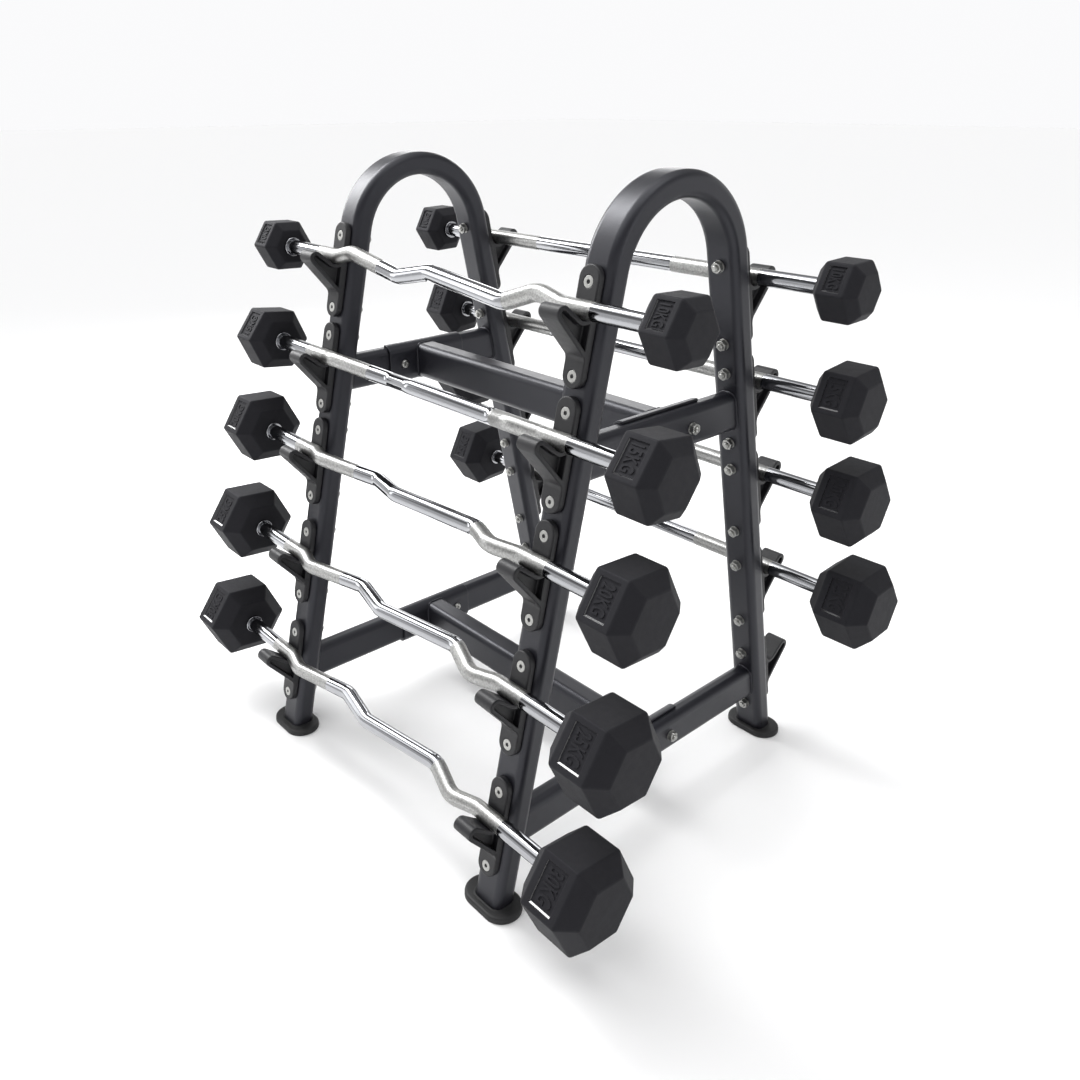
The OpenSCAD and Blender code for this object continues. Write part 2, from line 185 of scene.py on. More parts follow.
# ------------------------------------------------------------------ materials
class Mat:
    """A small helper to write node materials in a few lines."""

    def __init__(self, name):
        self.m = bpy.data.materials.new(name)
        self.m.use_nodes = True
        self.nt = self.m.node_tree
        self.b = self.nt.nodes["Principled BSDF"]
        self.tc = self.nt.nodes.new("ShaderNodeTexCoord")

    def set(self, **kw):
        for k, v in kw.items():
            self.b.inputs[k.replace("_", " ")].default_value = v
        return self

    def noise(self, scale, detail=4.0, rough=0.5, distort=0.0, coord="Object", stretch=None):
        n = self.nt.nodes.new("ShaderNodeTexNoise")
        n.inputs["Scale"].default_value = scale
        n.inputs["Detail"].default_value = detail
        n.inputs["Roughness"].default_value = rough
        n.inputs["Distortion"].default_value = distort
        src = self.tc.outputs[coord]
        if stretch:
            mp = self.nt.nodes.new("ShaderNodeMapping")
            mp.inputs["Scale"].default_value = stretch
            self.nt.links.new(src, mp.inputs[0])
            src = mp.outputs[0]
        self.nt.links.new(src, n.inputs["Vector"])
        return n.outputs["Fac"]

    def voronoi(self, scale, feature="F1", coord="Object"):
        n = self.nt.nodes.new("ShaderNodeTexVoronoi")
        n.feature = feature
        n.inputs["Scale"].default_value = scale
        self.nt.links.new(self.tc.outputs[coord], n.inputs["Vector"])
        return n.outputs["Distance"]

    def ramp(self, fac, stops):
        n = self.nt.nodes.new("ShaderNodeValToRGB")
        e = n.color_ramp.elements
        while len(e) < len(stops):
            e.new(0.5)
        for el, (p, c) in zip(e, stops):
            el.position = p
            el.color = (*c, 1) if hasattr(c, "__len__") else (c, c, c, 1)
        self.nt.links.new(fac, n.inputs[0])
        return n.outputs[0]

    def math(self, op, a, b=None, c=None):
        n = self.nt.nodes.new("ShaderNodeMath")
        n.operation = op
        for i, v in enumerate((a, b, c)):
            if v is None:
                continue
            if isinstance(v, (int, float)):
                n.inputs[i].default_value = v
            else:
                self.nt.links.new(v, n.inputs[i])
        return n.outputs[0]

    def mix(self, fac, a, b, blend="MIX"):
        n = self.nt.nodes.new("ShaderNodeMix")
        n.data_type = "RGBA"
        n.blend_type = blend
        for sock, v in ((n.inputs[0], fac), (n.inputs[6], a), (n.inputs[7], b)):
            if hasattr(v, "is_linked"):
                self.nt.links.new(v, sock)
            elif hasattr(v, "__len__"):
                sock.default_value = (*v, 1)
            else:
                sock.default_value = v
        return n.outputs[2]

    def colour(self, out):
        self.nt.links.new(out, self.b.inputs["Base Color"])

    def rough(self, out):
        self.nt.links.new(out, self.b.inputs["Roughness"])

    def bump(self, height, distance, strength=1.0):
        n = self.nt.nodes.new("ShaderNodeBump")
        n.inputs["Distance"].default_value = distance
        n.inputs["Strength"].default_value = strength
        self.nt.links.new(height, n.inputs["Height"])
        old = self.b.inputs["Normal"].links
        if old:
            self.nt.links.new(old[0].from_socket, n.inputs["Normal"])
        self.nt.links.new(n.outputs[0], self.b.inputs["Normal"])
        return n


def powder_coat():
    m = Mat("powder_coat").set(Metallic=0.0, IOR=1.5)
    m.b.inputs["Specular IOR Level"].default_value = 0.42
    m.b.inputs["Specular Tint"].default_value = (0.89, 0.905, 1.0, 1)
    cloud = m.noise(9, 3)
    fine = m.noise(900, 2)
    m.colour(m.mix(cloud, (0.0058, 0.0058, 0.0084), (0.0088, 0.0088, 0.0120)))
    m.rough(m.math("MULTIPLY_ADD", m.noise(60, 4), 0.10, 0.34))
    m.bump(m.noise(420, 2, 0.4), 0.00022, 0.35)
    m.bump(fine, 0.00008, 0.3)
    m.b.inputs["Coat Weight"].default_value = 0.12
    m.b.inputs["Coat Roughness"].default_value = 0.3
    return m.m


def cradle_plastic():
    m = Mat("cradle_plastic").set(Metallic=0.0, IOR=1.46)
    m.colour(m.mix(m.noise(30, 4), (0.0070, 0.0070, 0.0086), (0.0108, 0.0108, 0.0128)))
    m.rough(m.math("MULTIPLY_ADD", m.noise(140, 3), 0.12, 0.42))
    m.bump(m.voronoi(1500), 0.00010, 0.35)
    m.bump(m.noise(700, 3), 0.00010, 0.3)
    return m.m


def head_rubber():
    m = Mat("head_rubber").set(Metallic=0.0, IOR=1.45)
    m.b.inputs["Specular IOR Level"].default_value = 0.24
    m.b.inputs["Specular Tint"].default_value = (0.90, 0.905, 1.0, 1)
    big = m.noise(14, 5, 0.6)
    fine = m.noise(1100, 3, 0.6)
    c = m.mix(big, (0.0062, 0.0060, 0.0076), (0.0100, 0.0098, 0.0118))
    c = m.mix(m.ramp(fine, [(0.45, 0.0), (0.75, 0.3)]), c, (0.019, 0.019, 0.0215))
    m.colour(c)
    m.rough(m.math("MULTIPLY_ADD", m.noise(90, 4), 0.16, 0.60))
    m.bump(m.noise(1000, 4, 0.65), 0.00025, 0.45)
    m.bump(m.noise(120, 3), 0.0003, 0.2)
    m.b.inputs["Sheen Weight"].default_value = 0.03
    m.b.inputs["Sheen Roughness"].default_value = 0.6
    return m.m


def head_rubber_smooth():
    """The panel's walls come off a polished insert, so they shine more than the grained faces."""
    m = Mat("head_rubber_smooth").set(Metallic=0.0, IOR=1.5)
    m.colour(m.mix(m.noise(60, 3), (0.008, 0.008, 0.0095), (0.014, 0.014, 0.016)))
    m.rough(m.math("MULTIPLY_ADD", m.noise(200, 3), 0.08, 0.12))
    m.bump(m.noise(500, 2), 0.00006, 0.3)
    m.b.inputs["Coat Weight"].default_value = 1.0
    m.b.inputs["Coat Roughness"].default_value = 0.12
    return m.m


def foot_rubber():
    m = Mat("foot_rubber").set(Metallic=0.0, IOR=1.48)
    m.colour(m.mix(m.noise(40, 4), (0.0055, 0.0055, 0.0060), (0.0100, 0.0100, 0.0108)))
    m.rough(m.math("MULTIPLY_ADD", m.noise(120, 4), 0.15, 0.5))
    m.bump(m.noise(900, 4), 0.0002, 0.4)
    return m.m


def chrome():
    m = Mat("chrome").set(Metallic=1.0)
    m.colour(m.mix(m.noise(22, 3), (0.31, 0.315, 0.33), (0.38, 0.385, 0.40)))
    m.rough(m.math("MULTIPLY_ADD", m.noise(40, 5), 0.06, 0.07))
    m.bump(m.noise(30, 2, stretch=(0.15, 1, 1)), 0.0004, 0.06)
    return m.m


def knurl():
    m = Mat("knurl").set(Metallic=1.0)
    m.colour(m.mix(m.ramp(m.noise(330, 3), [(0.34, 0.0), (0.66, 1.0)]), (0.27, 0.27, 0.265), (0.45, 0.45, 0.44)))
    m.rough(m.math("MULTIPLY_ADD", m.noise(500, 3), 0.16, 0.26))
    m.bump(m.noise(2200, 2), 0.00012, 0.35)
    return m.m


def zinc():
    m = Mat("zinc").set(Metallic=1.0)
    m.colour(m.mix(m.noise(200, 3), (0.30, 0.30, 0.29), (0.46, 0.46, 0.44)))
    m.rough(m.math("MULTIPLY_ADD", m.noise(600, 3), 0.16, 0.26))
    m.bump(m.noise(1500, 2), 0.00005, 0.3)
    return m.m


MATS = {}


def mat(name):
    if name not in MATS:
        MATS[name] = {
            "powder_coat": powder_coat, "cradle_plastic": cradle_plastic, "head_rubber": head_rubber, "head_rubber_smooth": head_rubber_smooth,
            "foot_rubber": foot_rubber, "chrome": chrome, "knurl": knurl, "zinc": zinc,
        }[name]()
    return MATS[name]


# ------------------------------------------------------------------ mesh helpers
class Builder:
    """Collects vertices, faces, normals and material numbers of one mesh."""

    def __init__(self):
        self.v, self.f, self.n, self.mi, self.flat = [], [], [], [], []

    def add(self, verts, faces, normals=None, mi=0, flat=False, matrix=None):
        """Faces are turned over where they look against the given normals; a flat chunk keeps its own."""
        base = len(self.v)
        if matrix is not None:
            verts = [matrix @ Vector(v) for v in verts]
            if normals is not None:
                nm = matrix.to_3x3()
                normals = [(nm @ Vector(n)).normalized() for n in normals]
        if normals is not None:
            look = 0.0
            for f in faces[:: max(1, len(faces) // 400)]:
                a, b_, c = (Vector(verts[i]) for i in f[:3])
                look += (b_ - a).cross(c - a).normalized().dot(Vector(normals[f[0]]) + Vector(normals[f[1]]) + Vector(normals[f[2]]))
            if look < 0:
                faces = [tuple(reversed(f)) for f in faces]
            if flat:
                normals = None
        elif matrix is not None and matrix.to_3x3().determinant() < 0:
            faces = [tuple(reversed(f)) for f in faces]
        self.v += [tuple(v) for v in verts]
        self.n += [tuple(n) for n in normals] if normals is not None else [None] * len(verts)
        self.f += [tuple(base + i for i in f) for f in faces]
        self.mi += [mi] * len(faces)
        self.flat += [flat] * len(faces)

    def mesh(self, name, mats):
        me = bpy.data.meshes.new(name)
        me.from_pydata(self.v, [], self.f)
        for m in mats:
            me.materials.append(mat(m))
        me.polygons.foreach_set("material_index", self.mi)
        me.polygons.foreach_set("use_smooth", [not x for x in self.flat])
        me.update()
        if any(n is not None for n in self.n):
            me.normals_split_custom_set_from_vertices([n if n is not None else (0, 0, 0) for n in self.n])
        return me

    def piece(self, name, body, nodes, mats, slot):
        return place_piece(self.mesh(name, mats), name, body, nodes)


def place_piece(me, name, body, nodes, matrix=None):
    obj = bpy.data.objects.new(name, me)
    bpy.context.scene.collection.objects.link(obj)
    if matrix is not None:
        obj.matrix_world = matrix
    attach(obj, body)
    if nodes:
        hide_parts(*nodes)
    return obj


def from_bmesh(b, bm, matrix=None, mi=0, by_face=False):
    """Adds a bmesh to a builder, with face-weighted normals so that flat faces stay flat."""
    bm.verts.ensure_lookup_table()
    bm.faces.ensure_lookup_table()
    bm.normal_update()
    acc = [Vector((0, 0, 0)) for _ in bm.verts]
    for f in bm.faces:
        a = f.calc_area()
        for v in f.verts:
            acc[v.index] += f.normal * a
    for i, v in enumerate(bm.verts):
        v.index = i
    verts = [v.co.copy() for v in bm.verts]
    faces = [tuple(v.index for v in f.verts) for f in bm.faces]
    normals = [(n.normalized() if n.length > 0 else Vector((0, 0, 1))) for n in acc]
    b.add(verts, faces, normals, mi=mi, matrix=matrix)
    if by_face:
        b.mi[-len(faces):] = [f.material_index for f in bm.faces]


def rr(w, h, r, seg=7):
    """Rounded rectangle, counter-clockwise: points and outward normals."""
    pts, nor = [], []
    for cx, cy, a0 in ((w / 2 - r, h / 2 - r, 0), (-w / 2 + r, h / 2 - r, 90), (-w / 2 + r, -h / 2 + r, 180), (w / 2 - r, -h / 2 + r, 270)):
        for k in range(seg + 1):
            a = math.radians(a0 + 90 * k / seg)
            pts.append((cx + r * math.cos(a), cy + r * math.sin(a)))
            nor.append((math.cos(a), math.sin(a)))
    return pts, nor


def sweep(b, rings, closed=False, mi=0, caps=(True, True)):
    """rings: list of (list of 3-D points, list of 3-D normals), all of one length, joined by quads.
    The points of a ring run counter-clockwise as seen looking back along the sweep."""
    n = len(rings[0][0])
    verts, normals, faces = [], [], []
    for pts, nor in rings:
        verts += pts
        normals += nor
    m = len(rings)
    for i in range(m if closed else m - 1):
        j = (i + 1) % m
        for k in range(n):
            l = (k + 1) % n
            faces.append((i * n + k, i * n + l, j * n + l, j * n + k))
    b.add(verts, faces, normals, mi=mi)
    if not closed:
        for end, on in ((0, caps[0]), (m - 1, caps[1])):
            if not on:
                continue
            pts = rings[end][0]
            c = sum((Vector(p) for p in pts), Vector()) / n
            other = rings[1 if end == 0 else m - 2][0]
            out = (c - sum((Vector(p) for p in other), Vector()) / n).normalized()
            idx = tuple(range(n))
            b.add(pts, [tuple(reversed(idx)) if end == 0 else idx], [out] * n, mi=mi)


def frames_rings(frames, w, h, r, seg=7):
    """frames: list of (origin, axis_a, axis_b[, inset]). Profile x goes along axis_a and y along axis_b."""
    out = []
    for fr in frames:
        o, a, bb = (Vector(v) for v in fr[:3])
        d = fr[3] if len(fr) > 3 else 0
        pts, nor = rr(w - 2 * d, h - 2 * d, max(r - d, 0.0002), seg)
        t = a.cross(bb)
        lean = fr[4] if len(fr) > 4 else 0  # how far the normals tip towards the end, in radians
        out.append(([o + a * p[0] + bb * p[1] for p in pts],
                    [((a * q[0] + bb * q[1]) * math.cos(lean) + t * math.sin(lean)).normalized() for q in nor]))
    return out


def lathe_smooth(b, profile, matrix, seg=40, mi=0):
    """A turned surface: one smooth surface with averaged normals and closed ends."""
    verts, normals, faces = [], [], []
    m = len(profile)
    for i, (a, r) in enumerate(profile):
        p0, p1 = profile[max(i - 1, 0)], profile[min(i + 1, m - 1)]
        da, dr = p1[0] - p0[0], p1[1] - p0[1]
        d = math.hypot(da, dr) or 1
        for k in range(seg):
            t = 2 * math.pi * k / seg
            verts.append((a, r * math.cos(t), r * math.sin(t)))
            normals.append((-dr / d, da / d * math.cos(t), da / d * math.sin(t)))
    for i in range(m - 1):
        for k in range(seg):
            l = (k + 1) % seg
            faces.append((i * seg + k, i * seg + l, (i + 1) * seg + l, (i + 1) * seg + k))
    b.add(verts, faces, normals, mi=mi, matrix=matrix)
    for i, s in ((0, -1), (m - 1, 1)):
        ring = list(range(i * seg, (i + 1) * seg))
        pts = [verts[j] for j in ring]
        idx = tuple(range(seg))
        b.add(pts, [idx if s > 0 else tuple(reversed(idx))], [(s, 0, 0)] * seg, mi=mi, matrix=matrix)


def bead(b, path, normals, radius, seed, mi=0, closed=True, step=0.0028):
    """A welded bead along a path: a low rounded ridge with the ripples of a torch's passes."""
    rng = np.random.default_rng(seed)
    P = [Vector(p) for p in path]
    N = [Vector(n).normalized() for n in normals]
    if closed:
        P, N = P + [P[0]], N + [N[0]]
    # even spacing
    d = [0]
    for p, q in zip(P, P[1:]):
        d.append(d[-1] + (q - p).length)
    count = max(12, int(d[-1] / (step / 4)))
    rings = []
    ph = rng.uniform(0, 6.28)
    wob = rng.normal(0, 1, 64)
    total = count if closed else count + 1
    pos, nor = [], []
    for i in range(total):
        s = d[-1] * i / count
        k = min(max(np.searchsorted(d, s) - 1, 0), len(P) - 2)
        f = (s - d[k]) / max(d[k + 1] - d[k], 1e-9)
        pos.append(P[k].lerp(P[k + 1], f))
        nor.append(N[k].lerp(N[k + 1], f).normalized())
    for i in range(total):
        t = (pos[(i + 1) % total] - pos[i - 1]) if closed or 0 < i < total - 1 else (pos[min(i + 1, total - 1)] - pos[max(i - 1, 0)])
        t.normalize()
        a = nor[i]
        c = t.cross(a).normalized()
        s = d[-1] * i / count
        u = (s / step + ph / 6.28) % 1.0
        r = radius * (0.9 + 0.14 * abs(math.sin(math.pi * u)) + 0.05 * wob[int(s / step) % 64])
        ring, rn = [], []
        for k in range(10):
            an = 2 * math.pi * k / 10
            ring.append(pos[i] + a * (r * math.cos(an)) + c * (r * math.sin(an)))
            rn.append(a * math.cos(an) + c * math.sin(an))
        rings.append((ring, rn))
    sweep(b, rings, closed=closed, mi=mi)


# ------------------------------------------------------------------ frame pieces
def build_arches():
    for side, x in (("right", AX), ("left", -AX)):
        b = Builder()
        frames = []
        X = Vector((1, 0, 0))
        # front leg up, round the bend, rear leg down; profile x is along world X, profile y points outward
        up = Vector((0, SL, CL))
        inn = Vector((0, CL, -SL))
        base = Vector((x, SHIFT - U1_Y, U1_Z)) + inn * LEG_N
        foot_s = (base.z - 4 * MM) / CL
        leg = []
        for s in (foot_s, foot_s - 0.02, 0.7, 0.35, 0.02):
            leg.append((base - up * s, X, -inn))
        top = base + up * FIRST_DOWN
        centre = Vector((x, SHIFT, BEND_Z))
        arc = []
        a0 = math.pi - LEAN
        for i in range(0, 65):
            a = a0 + (LEAN - a0) * i / 64
            o = Vector((0, math.cos(a), math.sin(a)))
            arc.append((centre + o * BEND_R, X, o))
        rear = []
        for o, a, n in reversed(leg):
            rear.append((Vector((o.x, 2 * SHIFT - o.y, o.z)), X, Vector((n.x, -n.y, n.z))))
        rings = frames_rings(leg + arc + rear, TUBE_W, TUBE_D, TUBE_R, 9)
        # the legs are cut off level, where they stand in the feet
        for ring, axis in ((rings[0][0], up), (rings[-1][0], Vector((0, -SL, CL)))):
            for i, p in enumerate(ring):
                ring[i] = p + axis * ((4 * MM - p.z) / axis.z)
        sweep(b, rings)
        b.piece("arch_tube_" + side, "rack", ["arch_" + side], ["powder_coat"], "frame_coat")


def build_cross_pieces():
    for level, z in CROSS_Z.items():
        for side, x in (("right", AX), ("left", -AX)):
            b = Builder()
            pts, nor = rr(CROSS_W, CROSS_H, CROSS_R, 9)
            rings = []
            for s in (-1, -0.5, 0, 0.5, 1):
                ring, rn = [], []
                for p, q in zip(pts, nor):
                    half = -leg_y(LEG_IN, z + p[1])
                    ring.append(Vector((x - p[0], SHIFT + s * half, z + p[1])))
                    rn.append(Vector((-q[0], 0, q[1])))
                rings.append((ring, rn))
            sweep(b, rings)
            for s in (-1, 1):
                path, ns = [], []
                for p, q in zip(pts, nor):
                    half = -leg_y(LEG_IN, z + p[1])
                    path.append((x + p[0] * 1.005, SHIFT + s * (half - 0.3 * MM), z + p[1] * 1.005))
                    ns.append((q[0], -s * 0.8, q[1]))
                bead(b, path, ns, 2.1 * MM, int(z * 1000) + int(x > 0) * 2 + (s > 0))
            b.piece(f"cross_piece_{level}_{side}", "rack", [f"cross_{level}_{side}"], ["powder_coat"], "frame_coat")


def saddle_x(dz):
    """How far the saddle's outer surface stands from the arch's centre plane at a height off its middle."""
    flat, r = CROSS_H / 2 - CROSS_R, CROSS_R + SADDLE_T
    if abs(dz) <= flat:
        return CROSS_W / 2 + SADDLE_T
    d = min(abs(dz) - flat, r)
    return CROSS_W / 2 - CROSS_R + math.sqrt(max(r * r - d * d, 0))


def build_beams():
    for level, z in CROSS_Z.items():
        b = Builder()
        pts, nor = rr(BEAM_D, CROSS_H, CROSS_R, 9)
        rings = []
        for s in (-1, -0.6, 0, 0.6, 1):
            ring, rn = [], []
            for p, q in zip(pts, nor):
                half = AX - saddle_x(p[1])
                ring.append(Vector((s * half, SHIFT + p[0], z + p[1])))
                rn.append(Vector((0, q[0], q[1])))
            rings.append((ring, rn))
        sweep(b, rings)
        for s in (-1, 1):
            path, ns = [], []
            for p, q in zip(pts, nor):
                path.append((s * (AX - saddle_x(p[1]) - 0.6 * MM), SHIFT + p[0] * 1.02, z + p[1] * 1.01))
                ns.append((-s * 0.8, q[0], q[1]))
            bead(b, path, ns, 2.0 * MM, int(z * 1000) + 11 + (s > 0))
        b.piece("long_beam_" + level, "rack", ["beam_" + level], ["powder_coat"], "frame_coat")


def build_saddles():
    for level, z in CROSS_Z.items():
        for side, x in (("right", AX), ("left", -AX)):
            b = Builder()
            s = -1 if x > 0 else 1
            # path of the plate's middle: from mid top, round the inner side, to mid bottom
            rm = CROSS_R + SADDLE_T / 2
            path = []
            top = CROSS_H / 2 + SADDLE_T / 2
            flat_x, flat_z = CROSS_W / 2 - CROSS_R, CROSS_H / 2 - CROSS_R
            path.append((0, top, 0, 1))
            path.append((flat_x * 0.5, top, 0, 1))
            for k in range(0, 11):
                a = math.radians(90 - 9 * k)
                path.append((flat_x + rm * math.cos(a), flat_z + rm * math.sin(a), math.cos(a), math.sin(a)))
            path.append((flat_x + rm, 0, 1, 0))
            for k in range(0, 11):
                a = math.radians(-9 * k)
                path.append((flat_x + rm * math.cos(a), -flat_z + rm * math.sin(a), math.cos(a), math.sin(a)))
            path.append((flat_x * 0.5, -top, 0, -1))
            path.append((0, -top, 0, -1))
            frames = []
            Y = Vector((0, 1, 0))
            last = len(path) - 1
            for i, (px, pz, nx, nz) in enumerate(path):
                o = Vector((x + s * px, SHIFT, z + pz))
                nvec = Vector((s * nx, 0, nz))
                frames.append([o, Y if s > 0 else -Y, nvec])
            # small rounding at the two cut edges
            e = 1.0 * MM
            out0 = Vector((-s, 0, 0))
            first, final = frames[0], frames[-1]
            start = [[first[0] + out0 * 0.0, first[1], first[2], e, -1.2], [first[0] - out0 * e * 0.3, first[1], first[2], e * 0.3, -0.7], [first[0] - out0 * e, first[1], first[2], 0, 0]]
            end = [[final[0] - out0 * e, final[1], final[2], 0, 0], [final[0] - out0 * e * 0.3, final[1], final[2], e * 0.3, 0.7], [final[0] + out0 * 0.0, final[1], final[2], e, 1.2]]
            frames = start + frames[1:-1] + end
            rings = frames_rings(frames, 2 * SADDLE_HALF, SADDLE_T, 1.4 * MM, 4)
            # frames_rings wants a right-handed turn along the sweep
            sweep(b, rings)
            b.piece(f"saddle_plate_{level}_{side}", "rack", [f"saddle_{level}_{side}"], ["powder_coat"], "frame_coat")


def build_feet():
    seg = 96
    hw, hl = 34.5 * MM, 56 * MM

    def stadium(t, inset):
        r, c = hw - inset, hl - hw
        dx, dy = math.cos(t), math.sin(t)
        # distance from the middle to the racetrack's edge along direction t
        if abs(dy) > 1e-9:
            k = r / abs(dy)
            if abs(dx * k) <= c:
                return (dx * k, dy * k)
        s = 1 if dx > 0 else -1
        bq = dx * s * c
        k = bq + math.sqrt(max(bq * bq - c * c + r * r, 0))
        return (dx * k, dy * k)

    def rect(t, grow):
        w, h, r = TUBE_W / 2 + grow, TUBE_D / 2 / CL + grow, TUBE_R + grow
        dx, dy = math.cos(t), math.sin(t)
        lo_, hi_ = 0.0, 0.1
        for _ in range(40):
            k = (lo_ + hi_) / 2
            px, py = abs(dx * k), abs(dy * k)
            qx, qy = px - (w - r), py - (h - r)
            d = math.hypot(max(qx, 0), max(qy, 0)) + min(max(qx, qy), 0) - r
            lo_, hi_ = (k, hi_) if d < 0 else (lo_, k)
        return (dx * k, dy * k)

    for end, rear in (("front", False), ("rear", True)):
        for side, x in (("right", AX), ("left", -AX)):
            b = Builder()
            yc = leg_y(LEG_N, 0)
            sgn = -1 if rear else 1
            levels = [("s", 2.2, 0.0), ("s", 0.8, 0.25), ("s", 0.1, 1.0), ("s", 0.0, 2.2), ("s", 0.25, 7.6), ("s", 0.7, 9.3), ("s", 1.7, 10.6), ("s", 3.2, 11.4),
                      ("s", 5.0, 11.7), ("l", 4.9, 11.65), ("l", 4.2, 11.6), ("l", 3.7, 11.7), ("l", 3.3, 11.85), ("l", 2.9, 12.0), ("l", 1.2, 12.0), ("l", 0.6, 11.9), ("l", 0.25, 11.5), ("l", 0.2, 6.0)]
            rings = []
            for kind, inset, z in levels:
                ring = []
                for k in range(seg):
                    t = 2 * math.pi * k / seg
                    if kind == "s":
                        p = stadium(t, inset * MM)
                        y = sgn * (yc + p[1]) if not rear else -(yc) + p[1]
                    else:
                        p = rect(t, inset * MM)
                        off = z * MM * SL / CL
                        y = (yc + off + p[1]) if not rear else -(yc + off) + p[1]
                    ring.append(Vector((x + p[0], SHIFT + y, z * MM)))
                rings.append(ring)
            verts = [p for r in rings for p in r]
            faces = []
            for i in range(len(rings) - 1):
                for k in range(seg):
                    l = (k + 1) % seg
                    faces.append((i * seg + k, i * seg + l, (i + 1) * seg + l, (i + 1) * seg + k))
            faces.append(tuple(reversed(range(seg))))
            faces.append(tuple((len(rings) - 1) * seg + k for k in range(seg)))
            b.add(verts, faces)
            me = b.mesh(f"foot_pad_{end}_{side}", ["foot_rubber"])
            place_piece(me, f"foot_pad_{end}_{side}", "rack", [f"foot_{end}_{side}"])


# ------------------------------------------------------------------ cradles
def sd_polygon(px, py, poly):
    """Signed distance from points to a closed polygon, negative inside."""
    best = np.full(px.shape, 1e9)
    inside = np.zeros(px.shape, bool)
    n = len(poly)
    for i in range(n):
        x0, y0 = poly[i - 1]
        x1, y1 = poly[i]
        ex, ey = x1 - x0, y1 - y0
        wx, wy = px - x0, py - y0
        t = np.clip((wx * ex + wy * ey) / max(ex * ex + ey * ey, 1e-12), 0, 1)
        best = np.minimum(best, (wx - ex * t) ** 2 + (wy - ey * t) ** 2)
        cross = ((y0 > py) != (y1 > py)) & (px < (x1 - x0) * (py - y0) / np.where(abs(y1 - y0) < 1e-12, 1e-12, (y1 - y0)) + x0)
        inside ^= cross
    d = np.sqrt(best)
    return np.where(inside, -d, d)


def arc_pts(c, r, a0, a1, n):
    return [(c[0] + r * math.cos(math.radians(a0 + (a1 - a0) * i / n)), c[1] + r * math.sin(math.radians(a0 + (a1 - a0) * i / n))) for i in range(n + 1)]


def smax(a, b, k):
    h = np.clip(0.5 - 0.5 * (b - a) / k, 0, 1)
    return b * (1 - h) + a * h + k * h * (1 - h)


def smin(a, b, k):
    return -smax(-a, -b, k)


def extrude_sdf(d2, dz, r):
    """Rounded extrusion: d2 is the outline's distance, dz the distance past the flat ends."""
    a, b = d2 + r, dz + r
    return np.minimum(np.maximum(a, b), 0) + np.hypot(np.maximum(a, 0), np.maximum(b, 0)) - r


